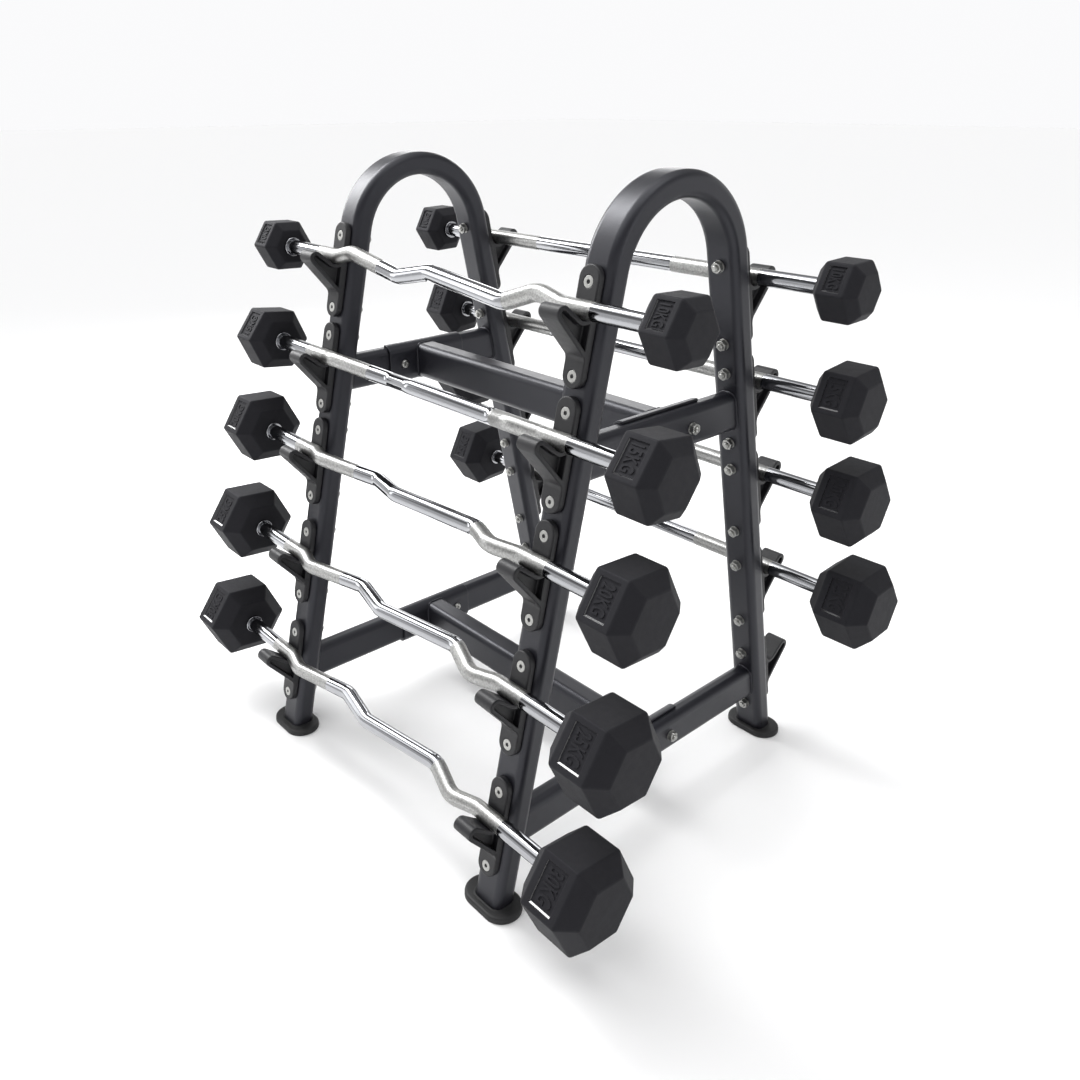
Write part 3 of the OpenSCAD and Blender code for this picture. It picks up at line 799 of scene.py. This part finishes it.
def cradle_sdf():
    """Returns grid axes and the signed distance of one cradle, in millimetres: x across, o outward, u up."""
    h = 1.0
    xs = np.arange(-24, 24 + h, h)
    os_ = np.arange(-14, 71 + h, h)
    us = np.arange(-157, 30 + h, h)
    seat_c, seat_r = (14.2, -38.0), 14.4
    nose_c, nose_r = (56.0, -46.8), 12.3
    rx, ru = nose_c[0] - seat_c[0], nose_c[1] - seat_c[1]
    va = math.degrees(math.atan2(ru, rx)) - math.degrees(math.acos((seat_r + nose_r) / math.hypot(rx, ru)))
    heel = (0.0, -106.0)
    dx, du = heel[0] - nose_c[0], heel[1] - nose_c[1]
    sa = math.degrees(math.atan2(du, dx)) + math.degrees(math.acos(nose_r / math.hypot(dx, du)))
    # outline of the hook, from inside the plate, round the seat, over the nose, and down the strut
    ts = (nose_c[0] + nose_r * math.cos(math.radians(sa)), nose_c[1] + nose_r * math.sin(math.radians(sa)))
    sdir = (heel[0] - ts[0], heel[1] - ts[1])
    sl = math.hypot(*sdir)
    sdir = (sdir[0] / sl, sdir[1] / sl)
    # fillet of radius rf where the strut runs into the plate's face, below the heel
    rf = 14.0
    nrm = (math.cos(math.radians(sa)), math.sin(math.radians(sa)))  # outward normal of the strut's face
    # centre is rf outside both the strut's line and the plate's face (o = 0)
    co = rf
    cu = ((heel[0] * nrm[0] + heel[1] * nrm[1]) + rf - nrm[0] * co) / nrm[1]
    a_on = (co - rf * nrm[0], cu - rf * nrm[1])
    outline = [(-6.0, -38.0)] + arc_pts(seat_c, seat_r, 180, 360 + va, 26) + arc_pts(nose_c, nose_r, 180 + va, sa, 26)
    start = math.degrees(math.atan2(a_on[1] - cu, a_on[0] - co))
    fil = arc_pts((co, cu), rf, start if start > 0 else start + 360, 180, 10)
    outline += fil + [(-6.0, cu)]
    v = (math.cos(math.radians(va)), math.sin(math.radians(va)))
    t = nrm
    strip = 7.5
    tip = nose_r - strip
    floor_c = v[0] * seat_c[0] + v[1] * seat_c[1] + seat_r + strip
    strut_c = t[0] * heel[0] + t[1] * heel[1] - strip
    back = 2.0
    low = (back, (strut_c - t[0] * back) / t[1])
    r2 = seat_r + strip
    # pocket outline: up the strut, round the nose's inside, back along the valley, round under the seat
    pocket = [low] + arc_pts(nose_c, tip, sa, 180 + va, 12)
    a_start = va + 360
    a_end = math.degrees(math.atan2(-math.sqrt(r2 * r2 - (seat_c[0] - back) ** 2), back - seat_c[0])) + 360
    pocket += arc_pts(seat_c, r2, a_start, a_end, 14)
    O, U = np.meshgrid(os_, us, indexing="ij")
    hook2 = sd_polygon(O, U, outline)
    pock2 = sd_polygon(O, U, pocket)
    X = xs[:, None, None]
    hook = extrude_sdf(hook2[None], np.abs(X) - 20.0, 2.0)
    pocket3 = smax(pock2[None], 7.0 - np.abs(X), 3.0)
    hook = smax(hook, -pocket3, 1.6)
    # back plate: racetrack outline, rounded towards the front
    XX, UU = np.meshgrid(xs, us, indexing="ij")
    seg_u = np.clip(UU, -132.3, 5.0)
    st = np.hypot(XX, UU - seg_u) - 20.0
    plate = extrude_sdf(st[:, None, :], np.abs(os_[None, :, None] + 6.0) - 6.0, 2.4)
    body = np.minimum(hook, plate)
    for su in (0.0, -134.3):
        rr_ = np.hypot(XX, UU - su)[:, None, :]
        oo = os_[None, :, None]
        body = smax(body, -np.maximum(rr_ - 9.35, -1.4 - oo), 0.5)
    return xs, os_, us, body


def surface_net(xs, ys, zs, f):
    """Quads on the zero level of f, with points pulled onto it."""
    s = f < 0
    c = [s[i:s.shape[0] - 1 + i, j:s.shape[1] - 1 + j, k:s.shape[2] - 1 + k] for i in (0, 1) for j in (0, 1) for k in (0, 1)]
    n_in = sum(x.astype(np.int8) for x in c)
    act = (n_in > 0) & (n_in < 8)
    ids = np.full(act.shape, -1, np.int64)
    cells = np.argwhere(act)
    ids[act] = np.arange(len(cells))
    acc = np.zeros((len(cells), 3))
    cnt = np.zeros(len(cells))
    I, J, K = cells.T
    corners = [(0, 0, 0), (0, 0, 1), (0, 1, 0), (0, 1, 1), (1, 0, 0), (1, 0, 1), (1, 1, 0), (1, 1, 1)]
    val = {q: f[I + q[0], J + q[1], K + q[2]] for q in corners}
    for a in corners:
        for ax in range(3):
            if a[ax]:
                continue
            q = list(a); q[ax] = 1; q = tuple(q)
            va, vb = val[a], val[q]
            m = (va < 0) != (vb < 0)
            t = np.where(m, va / np.where(m, va - vb, 1), 0)
            p = np.array(a, float)[None] + np.eye(3)[ax][None] * t[:, None]
            acc[m] += p[m]
            cnt[m] += 1
    pos = acc / cnt[:, None] + cells
    quads = []
    for ax in range(3):
        o1, o2 = (ax + 1) % 3, (ax + 2) % 3
        sl0 = [slice(None)] * 3; sl1 = [slice(None)] * 3
        sl0[ax] = slice(0, -1); sl1[ax] = slice(1, None)
        a, b_ = s[tuple(sl0)], s[tuple(sl1)]
        ch = np.argwhere(a != b_)
        ok = (ch[:, o1] > 0) & (ch[:, o2] > 0) & (ch[:, o1] < s.shape[o1] - 1) & (ch[:, o2] < s.shape[o2] - 1)
        ch = ch[ok]
        flip = a[tuple(ch.T)]
        e1, e2 = np.zeros(3, int), np.zeros(3, int)
        e1[o1] = 1; e2[o2] = 1
        q = np.stack([ids[tuple((ch - e1 - e2).T)], ids[tuple((ch - e2).T)], ids[tuple(ch.T)], ids[tuple((ch - e1).T)]], 1)
        q[~flip] = q[~flip][:, ::-1]
        quads.append(q)
    quads = np.concatenate(quads)
    step = np.array([xs[1] - xs[0], ys[1] - ys[0], zs[1] - zs[0]])
    org = np.array([xs[0], ys[0], zs[0]])

    def sample(p):
        g = np.clip((p - org) / step, 0, np.array(f.shape) - 1.001)
        i = g.astype(int); t = g - i
        out = 0
        for q in corners:
            w = np.prod(np.where(np.array(q)[None], t, 1 - t), axis=1)
            out = out + w * f[i[:, 0] + q[0], i[:, 1] + q[1], i[:, 2] + q[2]]
        return out

    def grad(p, e=0.6):
        return np.stack([(sample(p + np.eye(3)[k] * e) - sample(p - np.eye(3)[k] * e)) / (2 * e) for k in range(3)], 1)

    p = org + pos * step
    for _ in range(3):
        g = grad(p)
        p = p - (sample(p) / np.maximum((g ** 2).sum(1), 0.2))[:, None] * g
    return p, quads, sample, grad


def decimated(p, quads, grad, ratio, to_local, name, material):
    """A mesh of the quads thinned out where it is flat, with normals taken from the distance field."""
    me = bpy.data.meshes.new(name + "_raw")
    me.from_pydata(p.tolist(), [], quads.tolist())
    obj = bpy.data.objects.new(name + "_raw", me)
    bpy.context.scene.collection.objects.link(obj)
    mod = obj.modifiers.new("thin", "DECIMATE")
    mod.ratio = ratio
    dg = bpy.context.evaluated_depsgraph_get()
    dg.update()
    thin = bpy.data.meshes.new_from_object(obj.evaluated_get(dg))
    bpy.data.objects.remove(obj)
    co = np.empty(len(thin.vertices) * 3)
    thin.vertices.foreach_get("co", co)
    co = co.reshape(-1, 3)
    g = grad(co)
    g /= np.maximum(np.linalg.norm(g, axis=1), 1e-9)[:, None]
    thin.name = name
    return thin, co, g


def build_cradles():
    xs, os_, us, f = cradle_sdf()
    p, quads, sample, grad = surface_net(xs, os_, us, f)
    thin, co, g = decimated(p, quads, grad, 0.22, None, "cradle", "cradle_plastic")
    faces = [tuple(pl.vertices) for pl in thin.polygons]
    b = Builder()
    base = leg_matrix(0, False)
    # grid axes are x, outward, up: outward is minus the leg's inward axis, which also mirrors the shape
    local = Matrix(((MM, 0, 0, 0), (0, -MM, 0, 0), (0, 0, MM, 0), (0, 0, 0, 1)))
    for x in (AX, -AX):
        m = Matrix.Translation((x, 0, 0)) @ base @ local
        b.add([Vector(c) for c in co], faces, [Vector(n) for n in g], matrix=m)
    me = b.mesh("cradle_pair", ["cradle_plastic"])
    down = Vector((0, -SL, -CL))
    for i, s in enumerate(TIERS):
        place_piece(me, f"cradle_pair_front_{i + 1}", "rack", [f"cradle_front_{i + 1}"], Matrix.Translation(down * s))
        turn = Matrix.Translation((0, SHIFT, 0)) @ Matrix.Rotation(math.pi, 4, "Z") @ Matrix.Translation((0, -SHIFT, 0))
        place_piece(me, f"cradle_pair_rear_{i + 1}", "rack", [f"cradle_rear_{i + 1}"], turn @ Matrix.Translation(down * s))


# ------------------------------------------------------------------ fasteners
def add_socket_head(b, m, r_head, cone, turn):
    """A flat head with a bevelled rim and a hexagonal socket, facing local -X, its face at x = 0."""
    seg = 48
    rings = []
    for a, r in ((cone, r_head * 0.62), (0.9 * MM, r_head - 0.05 * MM), (0.45 * MM, r_head), (0.12 * MM, r_head - 0.12 * MM), (0, r_head - 0.45 * MM)):
        rings.append([(a, r * math.cos(2 * math.pi * k / seg), r * math.sin(2 * math.pi * k / seg)) for k in range(seg)])

    # face ring round the socket: 48 points on the hexagon's outline
    def hexp(r, a):
        out = []
        for k in range(seg):
            t = 2 * math.pi * k / seg
            u = (t - turn) % (math.pi / 3) - math.pi / 6
            rad = r * math.cos(math.pi / 6) / math.cos(u)
            out.append((a, rad * math.cos(t), rad * math.sin(t)))
        return out

    R = 3.0 * MM / math.cos(math.pi / 6)
    rings += [hexp(R + 0.5 * MM, 0), hexp(R + 0.25 * MM, 0.06 * MM), hexp(R, 0.35 * MM), hexp(R, 3.6 * MM), hexp(R * 0.92, 3.9 * MM)]
    bm = bmesh.new()
    vs = [[bm.verts.new(p) for p in ring] for ring in rings]
    for i in range(len(rings) - 1):
        for k in range(seg):
            l = (k + 1) % seg
            bm.faces.new((vs[i][k], vs[i + 1][k], vs[i + 1][l], vs[i][l]))
    bm.faces.new(vs[-1])
    bm.faces.new(list(reversed(vs[0])))
    bmesh.ops.recalc_face_normals(bm, faces=bm.faces)
    from_bmesh(b, bm, m)
    bm.free()


def add_nut(b, m, turn, bore_tip=4.0 * MM):
    """Washer, hexagon nut and the bolt's tip, standing on x = 0 and pointing along local +X."""
    lathe_smooth(b, [(0, 9.4 * MM), (0, 9.9 * MM), (0.25 * MM, 10 * MM), (1.7 * MM, 10 * MM), (1.95 * MM, 9.85 * MM), (2.0 * MM, 9.4 * MM), (2.0 * MM, 4 * MM)], m, 40)
    # hexagon with the corners turned off
    seg = 48
    af = 8.5 * MM
    cr = af / math.cos(math.pi / 6)

    def ring(a, cap):
        out = []
        for k in range(seg):
            t = 2 * math.pi * k / seg
            u = (t - turn) % (math.pi / 3) - math.pi / 6
            rad = min(af / math.cos(u), cap)
            out.append((a, rad * math.cos(t), rad * math.sin(t)))
        return out

    prof = [(2.0, 8.2), (2.3, 9.0), (2.75, 9.7), (3.1, 9.9), (8.7, 9.9), (9.2, 9.6), (9.6, 9.1), (9.9, 8.4), (10.0, 7.9), (10.0, 6.1), (9.8, 5.6), (9.3, 5.3)]
    bm = bmesh.new()
    vs = []
    for a, cap in prof:
        vs.append([bm.verts.new(p) for p in ring(a * MM, cap * MM)])
    for i in range(len(prof) - 1):
        for k in range(seg):
            l = (k + 1) % seg
            bm.faces.new((vs[i][k], vs[i][l], vs[i + 1][l], vs[i + 1][k]))
    bmesh.ops.holes_fill(bm, edges=[e for e in bm.edges if e.is_boundary])
    bmesh.ops.recalc_face_normals(bm, faces=bm.faces)
    from_bmesh(b, bm, m)
    bm.free()
    tip = 10 * MM + bore_tip
    lathe_smooth(b, [(8 * MM, 4.95 * MM), (tip - 1.6 * MM, 4.95 * MM), (tip - 0.9 * MM, 4.6 * MM), (tip - 0.3 * MM, 3.9 * MM), (tip, 3.0 * MM)], m, 28)


def build_fasteners():
    screws, nuts, bolts, snuts = Builder(), Builder(), Builder(), Builder()
    rng = np.random.default_rng(5)
    to_x = Matrix.Rotation(math.pi / 2, 4, "Z")  # local +X becomes the leg's inward +Y
    for rear in (False, True):
        for x in (AX, -AX):
            base = leg_matrix(x, rear)
            for s in TIERS:
                for k in (0, PITCH):
                    at = base @ Matrix.Translation((0, 0, -s - k)) @ to_x
                    add_socket_head(screws, at @ Matrix.Translation((0.15 * MM, 0, 0)), 9 * MM, 4 * MM, rng.uniform(0, 1))
                    lathe_smooth(screws, [(3 * MM, 5 * MM), (LEG_IN + 4 * MM, 5 * MM)], at, 20)
                    add_nut(nuts, at @ Matrix.Translation((LEG_IN, 0, 0)), rng.uniform(0, 1))
    for level, z in CROSS_Z.items():
        for x in (AX, -AX):
            s = 1 if x > 0 else -1
            for y in (-BOLT_Y, BOLT_Y):
                out = Matrix.Translation((x, SHIFT + y, z)) @ (Matrix.Identity(4) if s > 0 else Matrix.Rotation(math.pi, 4, "Z"))
                add_nut(snuts, out @ Matrix.Translation((CROSS_W / 2, 0, 0)), rng.uniform(0, 1))
                inner = CROSS_W / 2 + SADDLE_T
                # low round head with a socket, on the saddle plate
                prof = [(-inner, 8.75 * MM), (-inner - 0.8 * MM, 8.7 * MM), (-inner - 2.0 * MM, 8.35 * MM), (-inner - 3.4 * MM, 7.7 * MM), (-inner - 4.5 * MM, 6.9 * MM), (-inner - 4.9 * MM, 6.4 * MM)]
                ring_head(bolts, out, prof, rng.uniform(0, 1))
                lathe_smooth(bolts, [(-inner - 1 * MM, 5 * MM), (CROSS_W / 2 + 9 * MM, 5 * MM)], out, 20)
    screws.piece("cradle_screws_countersunk", "rack", ["cradle_screws"], ["zinc"], "zinc")
    nuts.piece("cradle_nuts_and_washers", "rack", ["cradle_nuts"], ["zinc"], "zinc")
    bolts.piece("saddle_bolts_button_head", "rack", ["saddle_bolts"], ["zinc"], "zinc")
    snuts.piece("saddle_nuts_and_washers", "rack", ["saddle_nuts"], ["zinc"], "zinc")


def ring_head(b, m, prof, turn):
    """A button head: turned profile towards local -X, closed by a hexagonal socket."""
    seg = 48
    face = prof[-1][0]
    rings = [[(a, r * math.cos(2 * math.pi * k / seg), r * math.sin(2 * math.pi * k / seg)) for k in range(seg)] for a, r in prof]

    def hexp(r, a):
        out = []
        for k in range(seg):
            t = 2 * math.pi * k / seg
            u = (t - turn) % (math.pi / 3) - math.pi / 6
            rad = r * math.cos(math.pi / 6) / math.cos(u)
            out.append((a, rad * math.cos(t), rad * math.sin(t)))
        return out

    R = 3.0 * MM / math.cos(math.pi / 6)
    rings += [hexp(R + 0.4 * MM, face), hexp(R, face + 0.3 * MM), hexp(R, face + 3.4 * MM)]
    bm = bmesh.new()
    vs = [[bm.verts.new(p) for p in ring] for ring in rings]
    for i in range(len(rings) - 1):
        for k in range(seg):
            l = (k + 1) % seg
            bm.faces.new((vs[i][k], vs[i + 1][k], vs[i + 1][l], vs[i][l]))
    bm.faces.new(vs[-1])
    bm.faces.new(list(reversed(vs[0])))
    bmesh.ops.recalc_face_normals(bm, faces=bm.faces)
    from_bmesh(b, bm, m)
    bm.free()


# ------------------------------------------------------------------ barbells
def bar_matrix(rear, tier, turn):
    return Matrix.Translation((0, SHIFT + (1 if rear else -1) * bar_y(TIERS[tier]), bar_z(TIERS[tier]))) @ Matrix.Rotation(math.radians(turn), 4, "X")


def bar_path(points, bend, step):
    """Stations along a line of straight runs and round bends: (length so far, point, tangent), in the bar's plane."""
    pts = [Vector((p[0], p[1], 0)) for p in points]
    segs = []
    cur = pts[0]
    for i in range(1, len(pts)):
        if i == len(pts) - 1:
            segs.append(("line", cur, pts[i]))
            break
        d0, d1 = (pts[i] - pts[i - 1]).normalized(), (pts[i + 1] - pts[i]).normalized()
        turn = math.atan2(d0.cross(d1).z, d0.dot(d1))
        t = bend * math.tan(abs(turn) / 2)
        a, b = pts[i] - d0 * t, pts[i] + d1 * t
        segs.append(("line", cur, a))
        segs.append(("arc", a, d0, turn))
        cur = b
    out = []
    s = 0.0
    for sg in segs:
        if sg[0] == "line":
            L = (sg[2] - sg[1]).length
            d = (sg[2] - sg[1]).normalized()
            n = max(1, int(round(L / step)))
            for k in range(n):
                out.append((s + L * k / n, sg[1] + d * (L * k / n), d))
            s += L
        else:
            _, a, d0, turn = sg
            L = bend * abs(turn)
            side = 1 if turn > 0 else -1
            c = a + Vector((-d0.y, d0.x, 0)) * (side * bend)
            n = max(4, int(round(L / step)))
            for k in range(n):
                w = turn * k / n
                rot = Matrix.Rotation(w, 3, "Z")
                out.append((s + L * k / n, c + rot @ (a - c), rot @ d0))
            s += L
    last = segs[-1]
    out.append((s, last[2], (last[2] - last[1]).normalized()))
    return out


AROUND = 72


def add_handle(b, points, bend, knurls, matrix, r=14 * MM):
    """A handle swept along its path, with true diamond knurling between the given x stations."""
    coarse = bar_path(points, bend, 9 * MM)
    pitch = 2 * math.pi * r / AROUND  # half a diamond round the bar
    fine = bar_path(points, bend, pitch)
    stations = []

    def x_at(p):
        return p[1].x

    cuts = sorted(knurls)
    pos = []
    for st in coarse:
        if not any(a - 2 * MM <= x_at(st) <= c + 2 * MM for a, c in cuts):
            pos.append((st, None))
    for a, c in cuts:
        sel = [st for st in fine if a <= x_at(st) <= c]
        for j, st in enumerate(sel):
            pos.append((st, j))
        # shoulders: a narrow plain groove either side
        first, last = sel[0], sel[-1]
        for st, sgn in ((first, -1), (last, 1)):
            for off in (0.9 * MM, 1.8 * MM):
                q = (st[0] + sgn * off, st[1] + st[2] * (sgn * off), st[2])
                pos.append((q, -1 if off < 1 * MM else None))
    pos.sort(key=lambda q: q[0][0])
    rings = []
    for st, j in pos:
        s, p, t = st
        side = Vector((-t.y, t.x, 0))
        up = Vector((0, 0, 1))
        ring, nn = [], []
        for k in range(AROUND):
            a = 2 * math.pi * k / AROUND
            rad = r
            if j == -1:
                rad = r - 0.45 * MM
            elif j is not None:
                rad = r - (0.5 * MM if (k + j) % 2 == 0 else 0.0)
            d = side * math.cos(a) + up * math.sin(a)
            ring.append(p + d * rad)
            nn.append(d)
        rings.append((ring, nn, j))
    # smooth stretches and knurled stretches are separate runs of rings
    n = AROUND
    i = 0
    while i < len(rings) - 1:
        kn = rings[i][2] is not None and rings[i][2] >= 0 and rings[i + 1][2] is not None and rings[i + 1][2] >= 0
        j = i + 1
        while j < len(rings) - 1:
            k2 = rings[j][2] is not None and rings[j][2] >= 0 and rings[j + 1][2] is not None and rings[j + 1][2] >= 0
            if k2 != kn:
                break
            j += 1
        run = rings[i:j + 1]
        verts = [p for r_, _, _ in run for p in r_]
        normals = [q for _, nn, _ in run for q in nn]
        faces = []
        for a in range(len(run) - 1):
            for k in range(n):
                l = (k + 1) % n
                q = (a * n + k, a * n + l, (a + 1) * n + l, (a + 1) * n + k)
                if kn:
                    # split each cell along its groove
                    if (k + run[a][2]) % 2 == 0:
                        faces += [(q[0], q[1], q[2]), (q[0], q[2], q[3])]
                    else:
                        faces += [(q[1], q[2], q[3]), (q[1], q[3], q[0])]
                else:
                    faces.append(q)
        if kn:
            b.add(verts, faces, normals, mi=1, flat=True, matrix=matrix)
        else:
            b.add(verts, faces, normals, mi=0, matrix=matrix)
        i = j
    for end, s in ((rings[0], -1), (rings[-1], 1)):
        idx = tuple(range(n))
        b.add(end[0], [idx if s < 0 else tuple(reversed(idx))], [(s, 0, 0)] * n, matrix=matrix)


def add_collars(b, matrix):
    for s in (1, -1):
        m = matrix @ (Matrix.Identity(4) if s > 0 else Matrix.Rotation(math.pi, 4, "Z"))
        x0 = HEAD_IN - 6 * MM
        prof = [(x0, 13.9 * MM), (x0, 16.6 * MM), (x0 + 0.15 * MM, 17.2 * MM), (x0 + 0.6 * MM, 17.75 * MM), (x0 + 1.3 * MM, 18 * MM), (x0 + 5.0 * MM, 18 * MM), (x0 + 5.6 * MM, 17.7 * MM), (x0 + 6 * MM, 17.2 * MM)]
        lathe_smooth(b, prof, m, 56)


GLYPHS_READY = {}


def label_mesh(text, height):
    """Figures from the font's outline, widened by a small offset, made as a flat mesh, centred, lying in XY and facing
    +Z.
    """
    if (text, height) in GLYPHS_READY:
        return GLYPHS_READY[(text, height)]
    cu = bpy.data.curves.new("mark_" + text, "FONT")
    cu.body = text
    cu.size = 1.0
    cu.align_x = "CENTER"
    cu.extrude = 0.0
    cu.offset = 0.022
    cu.resolution_u = 5
    cu.space_character = 1.12
    obj = bpy.data.objects.new("mark_" + text, cu)
    bpy.context.scene.collection.objects.link(obj)
    dg = bpy.context.evaluated_depsgraph_get()
    dg.update()
    me = bpy.data.meshes.new_from_object(obj.evaluated_get(dg))
    bpy.data.objects.remove(obj)
    GLYPHS_READY[(text, height)] = me
    return me


def head_bmesh(i, text):
    """One rubber head: a hexagonal block with chamfered ends, softened edges and a sunk panel; its raised figures are
    added by head_label.
    Local X runs outward from the inner face, and the panel's face looks along +Z before the turn."""
    w, l, c = (v * MM for v in HEADS[i])
    R = w / math.sqrt(3)
    e = 0.66
    bm = bmesh.new()
    st = [(0, R * e), (c, R), (c + l, R), (2 * c + l, R * e)]
    rings = []
    for x, r in st:
        rings.append([bm.verts.new((x, r * math.sin(math.radians(60 * k + 30)), r * math.cos(math.radians(60 * k + 30)))) for k in range(6)])
    # face k runs between corners k-1 and k; face 0 (corners at -30 and 30 degrees) looks along +Z
    panel = []
    for a in range(3):
        for k in range(6):
            j = (k - 1) % 6
            quad = (rings[a][j], rings[a + 1][j], rings[a + 1][k], rings[a][k])
            if a == 1 and k == 0:
                panel = quad
                continue
            bm.faces.new(quad)
    bm.faces.new(rings[0])
    bm.faces.new(list(reversed(rings[3])))
    body_edges = list(bm.edges)
    # sunk panel
    pl, ph = l * 0.635, w * 0.45
    zc = w / 2
    cx = c + l / 2
    q = [bm.verts.new((cx + sx * pl / 2, sy * ph / 2, zc)) for sx, sy in ((-1, -1), (1, -1), (1, 1), (-1, 1))]
    d = 2.4 * MM
    f_ = 1.2 * MM
    slope = 3.1 * MM  # the wall at the figures' end runs out at a gentler slope
    t = [bm.verts.new((cx + sx * (pl / 2 - f_), sy * ph / 2 + (slope if sy < 0 else -f_), zc - d)) for sx, sy in ((-1, -1), (1, -1), (1, 1), (-1, 1))]
    outer = sorted(panel, key=lambda v: math.atan2(v.co.y, v.co.x - cx))
    inner = sorted(q, key=lambda v: math.atan2(v.co.y, v.co.x - cx))
    for a in range(4):
        bm.faces.new((outer[a], outer[(a + 1) % 4], inner[(a + 1) % 4], inner[a]))
    low = sorted(t, key=lambda v: math.atan2(v.co.y, v.co.x - cx))
    for a in range(4):
        bm.faces.new((inner[a], inner[(a + 1) % 4], low[(a + 1) % 4], low[a])).material_index = 1
    bm.faces.new(low)
    bmesh.ops.recalc_face_normals(bm, faces=bm.faces)
    rim = [e_ for e_ in bm.edges if e_.verts[0] in q and e_.verts[1] in q]
    foot = [e_ for e_ in bm.edges if e_.verts[0] in t and e_.verts[1] in t]
    walls = [e_ for e_ in bm.edges if (e_.verts[0] in t) != (e_.verts[1] in t)]
    bmesh.ops.bevel(bm, geom=body_edges, offset=2.4 * MM, segments=4, profile=0.5, affect="EDGES", clamp_overlap=False)
    rim = [e_ for e_ in rim if e_.is_valid]
    bmesh.ops.bevel(bm, geom=[x for x in rim + walls + foot if x.is_valid], offset=0.45 * MM, segments=2, profile=0.5, affect="EDGES", clamp_overlap=True)
    return bm


def head_label(b, i, text, matrix, mirror):
    w, l, c = (v * MM for v in HEADS[i])
    me = label_mesh(text, 1)
    co = np.array([v.co[:] for v in me.vertices])
    faces = [tuple(p.vertices) for p in me.polygons]
    lo_, hi_ = co.min(0), co.max(0)
    size = hi_ - lo_
    ctr = (hi_ + lo_) / 2
    ph, pl = w * 0.45 - 4.3 * MM, l * 0.635 - 2.4 * MM
    # the text runs along the panel's long side; its letters stand across the head
    kx, ky = ph * 0.84 / size[0], pl * 0.72 / size[1]
    kx = min(kx, ky * 1.25)
    zc = w / 2 - 2.4 * MM
    cx = c + l / 2
    bm = bmesh.new()
    vs = [bm.verts.new(((v[0] - ctr[0]) * kx, (v[1] - ctr[1]) * ky, 0)) for v in co]
    for f in faces:
        try:
            bm.faces.new([vs[j] for j in f])
        except ValueError:
            pass
    bmesh.ops.remove_doubles(bm, verts=bm.verts, dist=1e-6)
    bmesh.ops.recalc_face_normals(bm, faces=bm.faces)
    bm.normal_update()
    if sum(f.normal.z for f in bm.faces) < 0:
        bmesh.ops.reverse_faces(bm, faces=bm.faces)
    base = [f for f in bm.faces]
    ext = bmesh.ops.extrude_face_region(bm, geom=base)
    top = [g for g in ext["geom"] if isinstance(g, bmesh.types.BMVert)]
    bmesh.ops.translate(bm, verts=top, vec=(0, 0, 1.5 * MM))
    bmesh.ops.recalc_face_normals(bm, faces=bm.faces)
    bm.normal_update()
    edges = [e for e in bm.edges if len(e.link_faces) == 2 and e.calc_face_angle(0) > 1.2 and e.verts[0].co.z > 1 * MM and e.verts[1].co.z > 1 * MM]
    bmesh.ops.bevel(bm, geom=edges, offset=0.18 * MM, segments=2, profile=0.5, affect="EDGES", clamp_overlap=True)
    # text's own x goes along the face's width (local y), its tops point outward along local x
    m = Matrix(((0, 1, 0, cx), (-1, 0, 0, 0.95 * MM), (0, 0, 1, zc - 0.1 * MM), (0, 0, 0, 1)))
    from_bmesh(b, bm, matrix @ m)
    bm.free()


def build_barbells():
    for kind, rear, turns in (("curl", False, TURN_FRONT), ("straight", True, TURN_REAR)):
        for i, turn in enumerate(turns):
            kg = KG[i]
            body = f"{kind}_barbell_{kg}"
            w, l, c = (v * MM for v in HEADS[i])
            end = HEAD_IN + 2 * c + l - 15 * MM
            b = Builder()
            m = bar_matrix(rear, i, turn)
            if kind == "curl":
                pts = [(-end, 0)] + [(x * MM, o * MM) for x, o in zip(CURL_X, CURL_O)] + [(end, 0)]
                add_handle(b, pts, CURL_BEND, [(-357 * MM, -152 * MM), (182 * MM, 362 * MM)], bar_matrix(rear, i, CURL_TURN[i]))
            else:
                add_handle(b, [(-end, 0), (end, 0)], CURL_BEND, [(-355 * MM, -172 * MM), (172 * MM, 355 * MM)], m)
            add_collars(b, m)
            b.piece(f"{kind}_handle_{kg}", body, [f"{kind}_bar_{kg}"], ["chrome", "knurl"], "chrome")
            for side in ("right", "left"):
                hb = Builder()
                face = Matrix.Rotation(math.radians(60), 4, "X")  # puts the panel's face at 150 degrees
                start = Matrix.Translation((HEAD_IN, 0, 0))
                flip = Matrix.Identity(4) if side == "right" else Matrix.Scale(-1, 4, (1, 0, 0))
                bm = head_bmesh(i, str(kg))
                from_bmesh(hb, bm, m @ flip @ start @ face, by_face=True)
                bm.free()
                if side == "right":
                    head_label(hb, i, f"{kg}KG", m @ start @ face, False)
                else:
                    # the same figures, turned half round so that their tops point to this head's outer end
                    turn_about = Matrix.Translation((-HEAD_IN, 0, 0)) @ face @ Matrix.Rotation(math.pi, 4, "Z")
                    head_label(hb, i, f"{kg}KG", m @ turn_about, False)
                hb.piece(f"{kind}_rubber_head_{kg}_{side}", body, [f"{kind}_head_{kg}_{side}"], ["head_rubber", "head_rubber_smooth"], "head_rubber")


camera()
stage()
build_arches()
build_cross_pieces()
build_beams()
build_saddles()
build_feet()
build_cradles()
build_fasteners()
build_barbells()
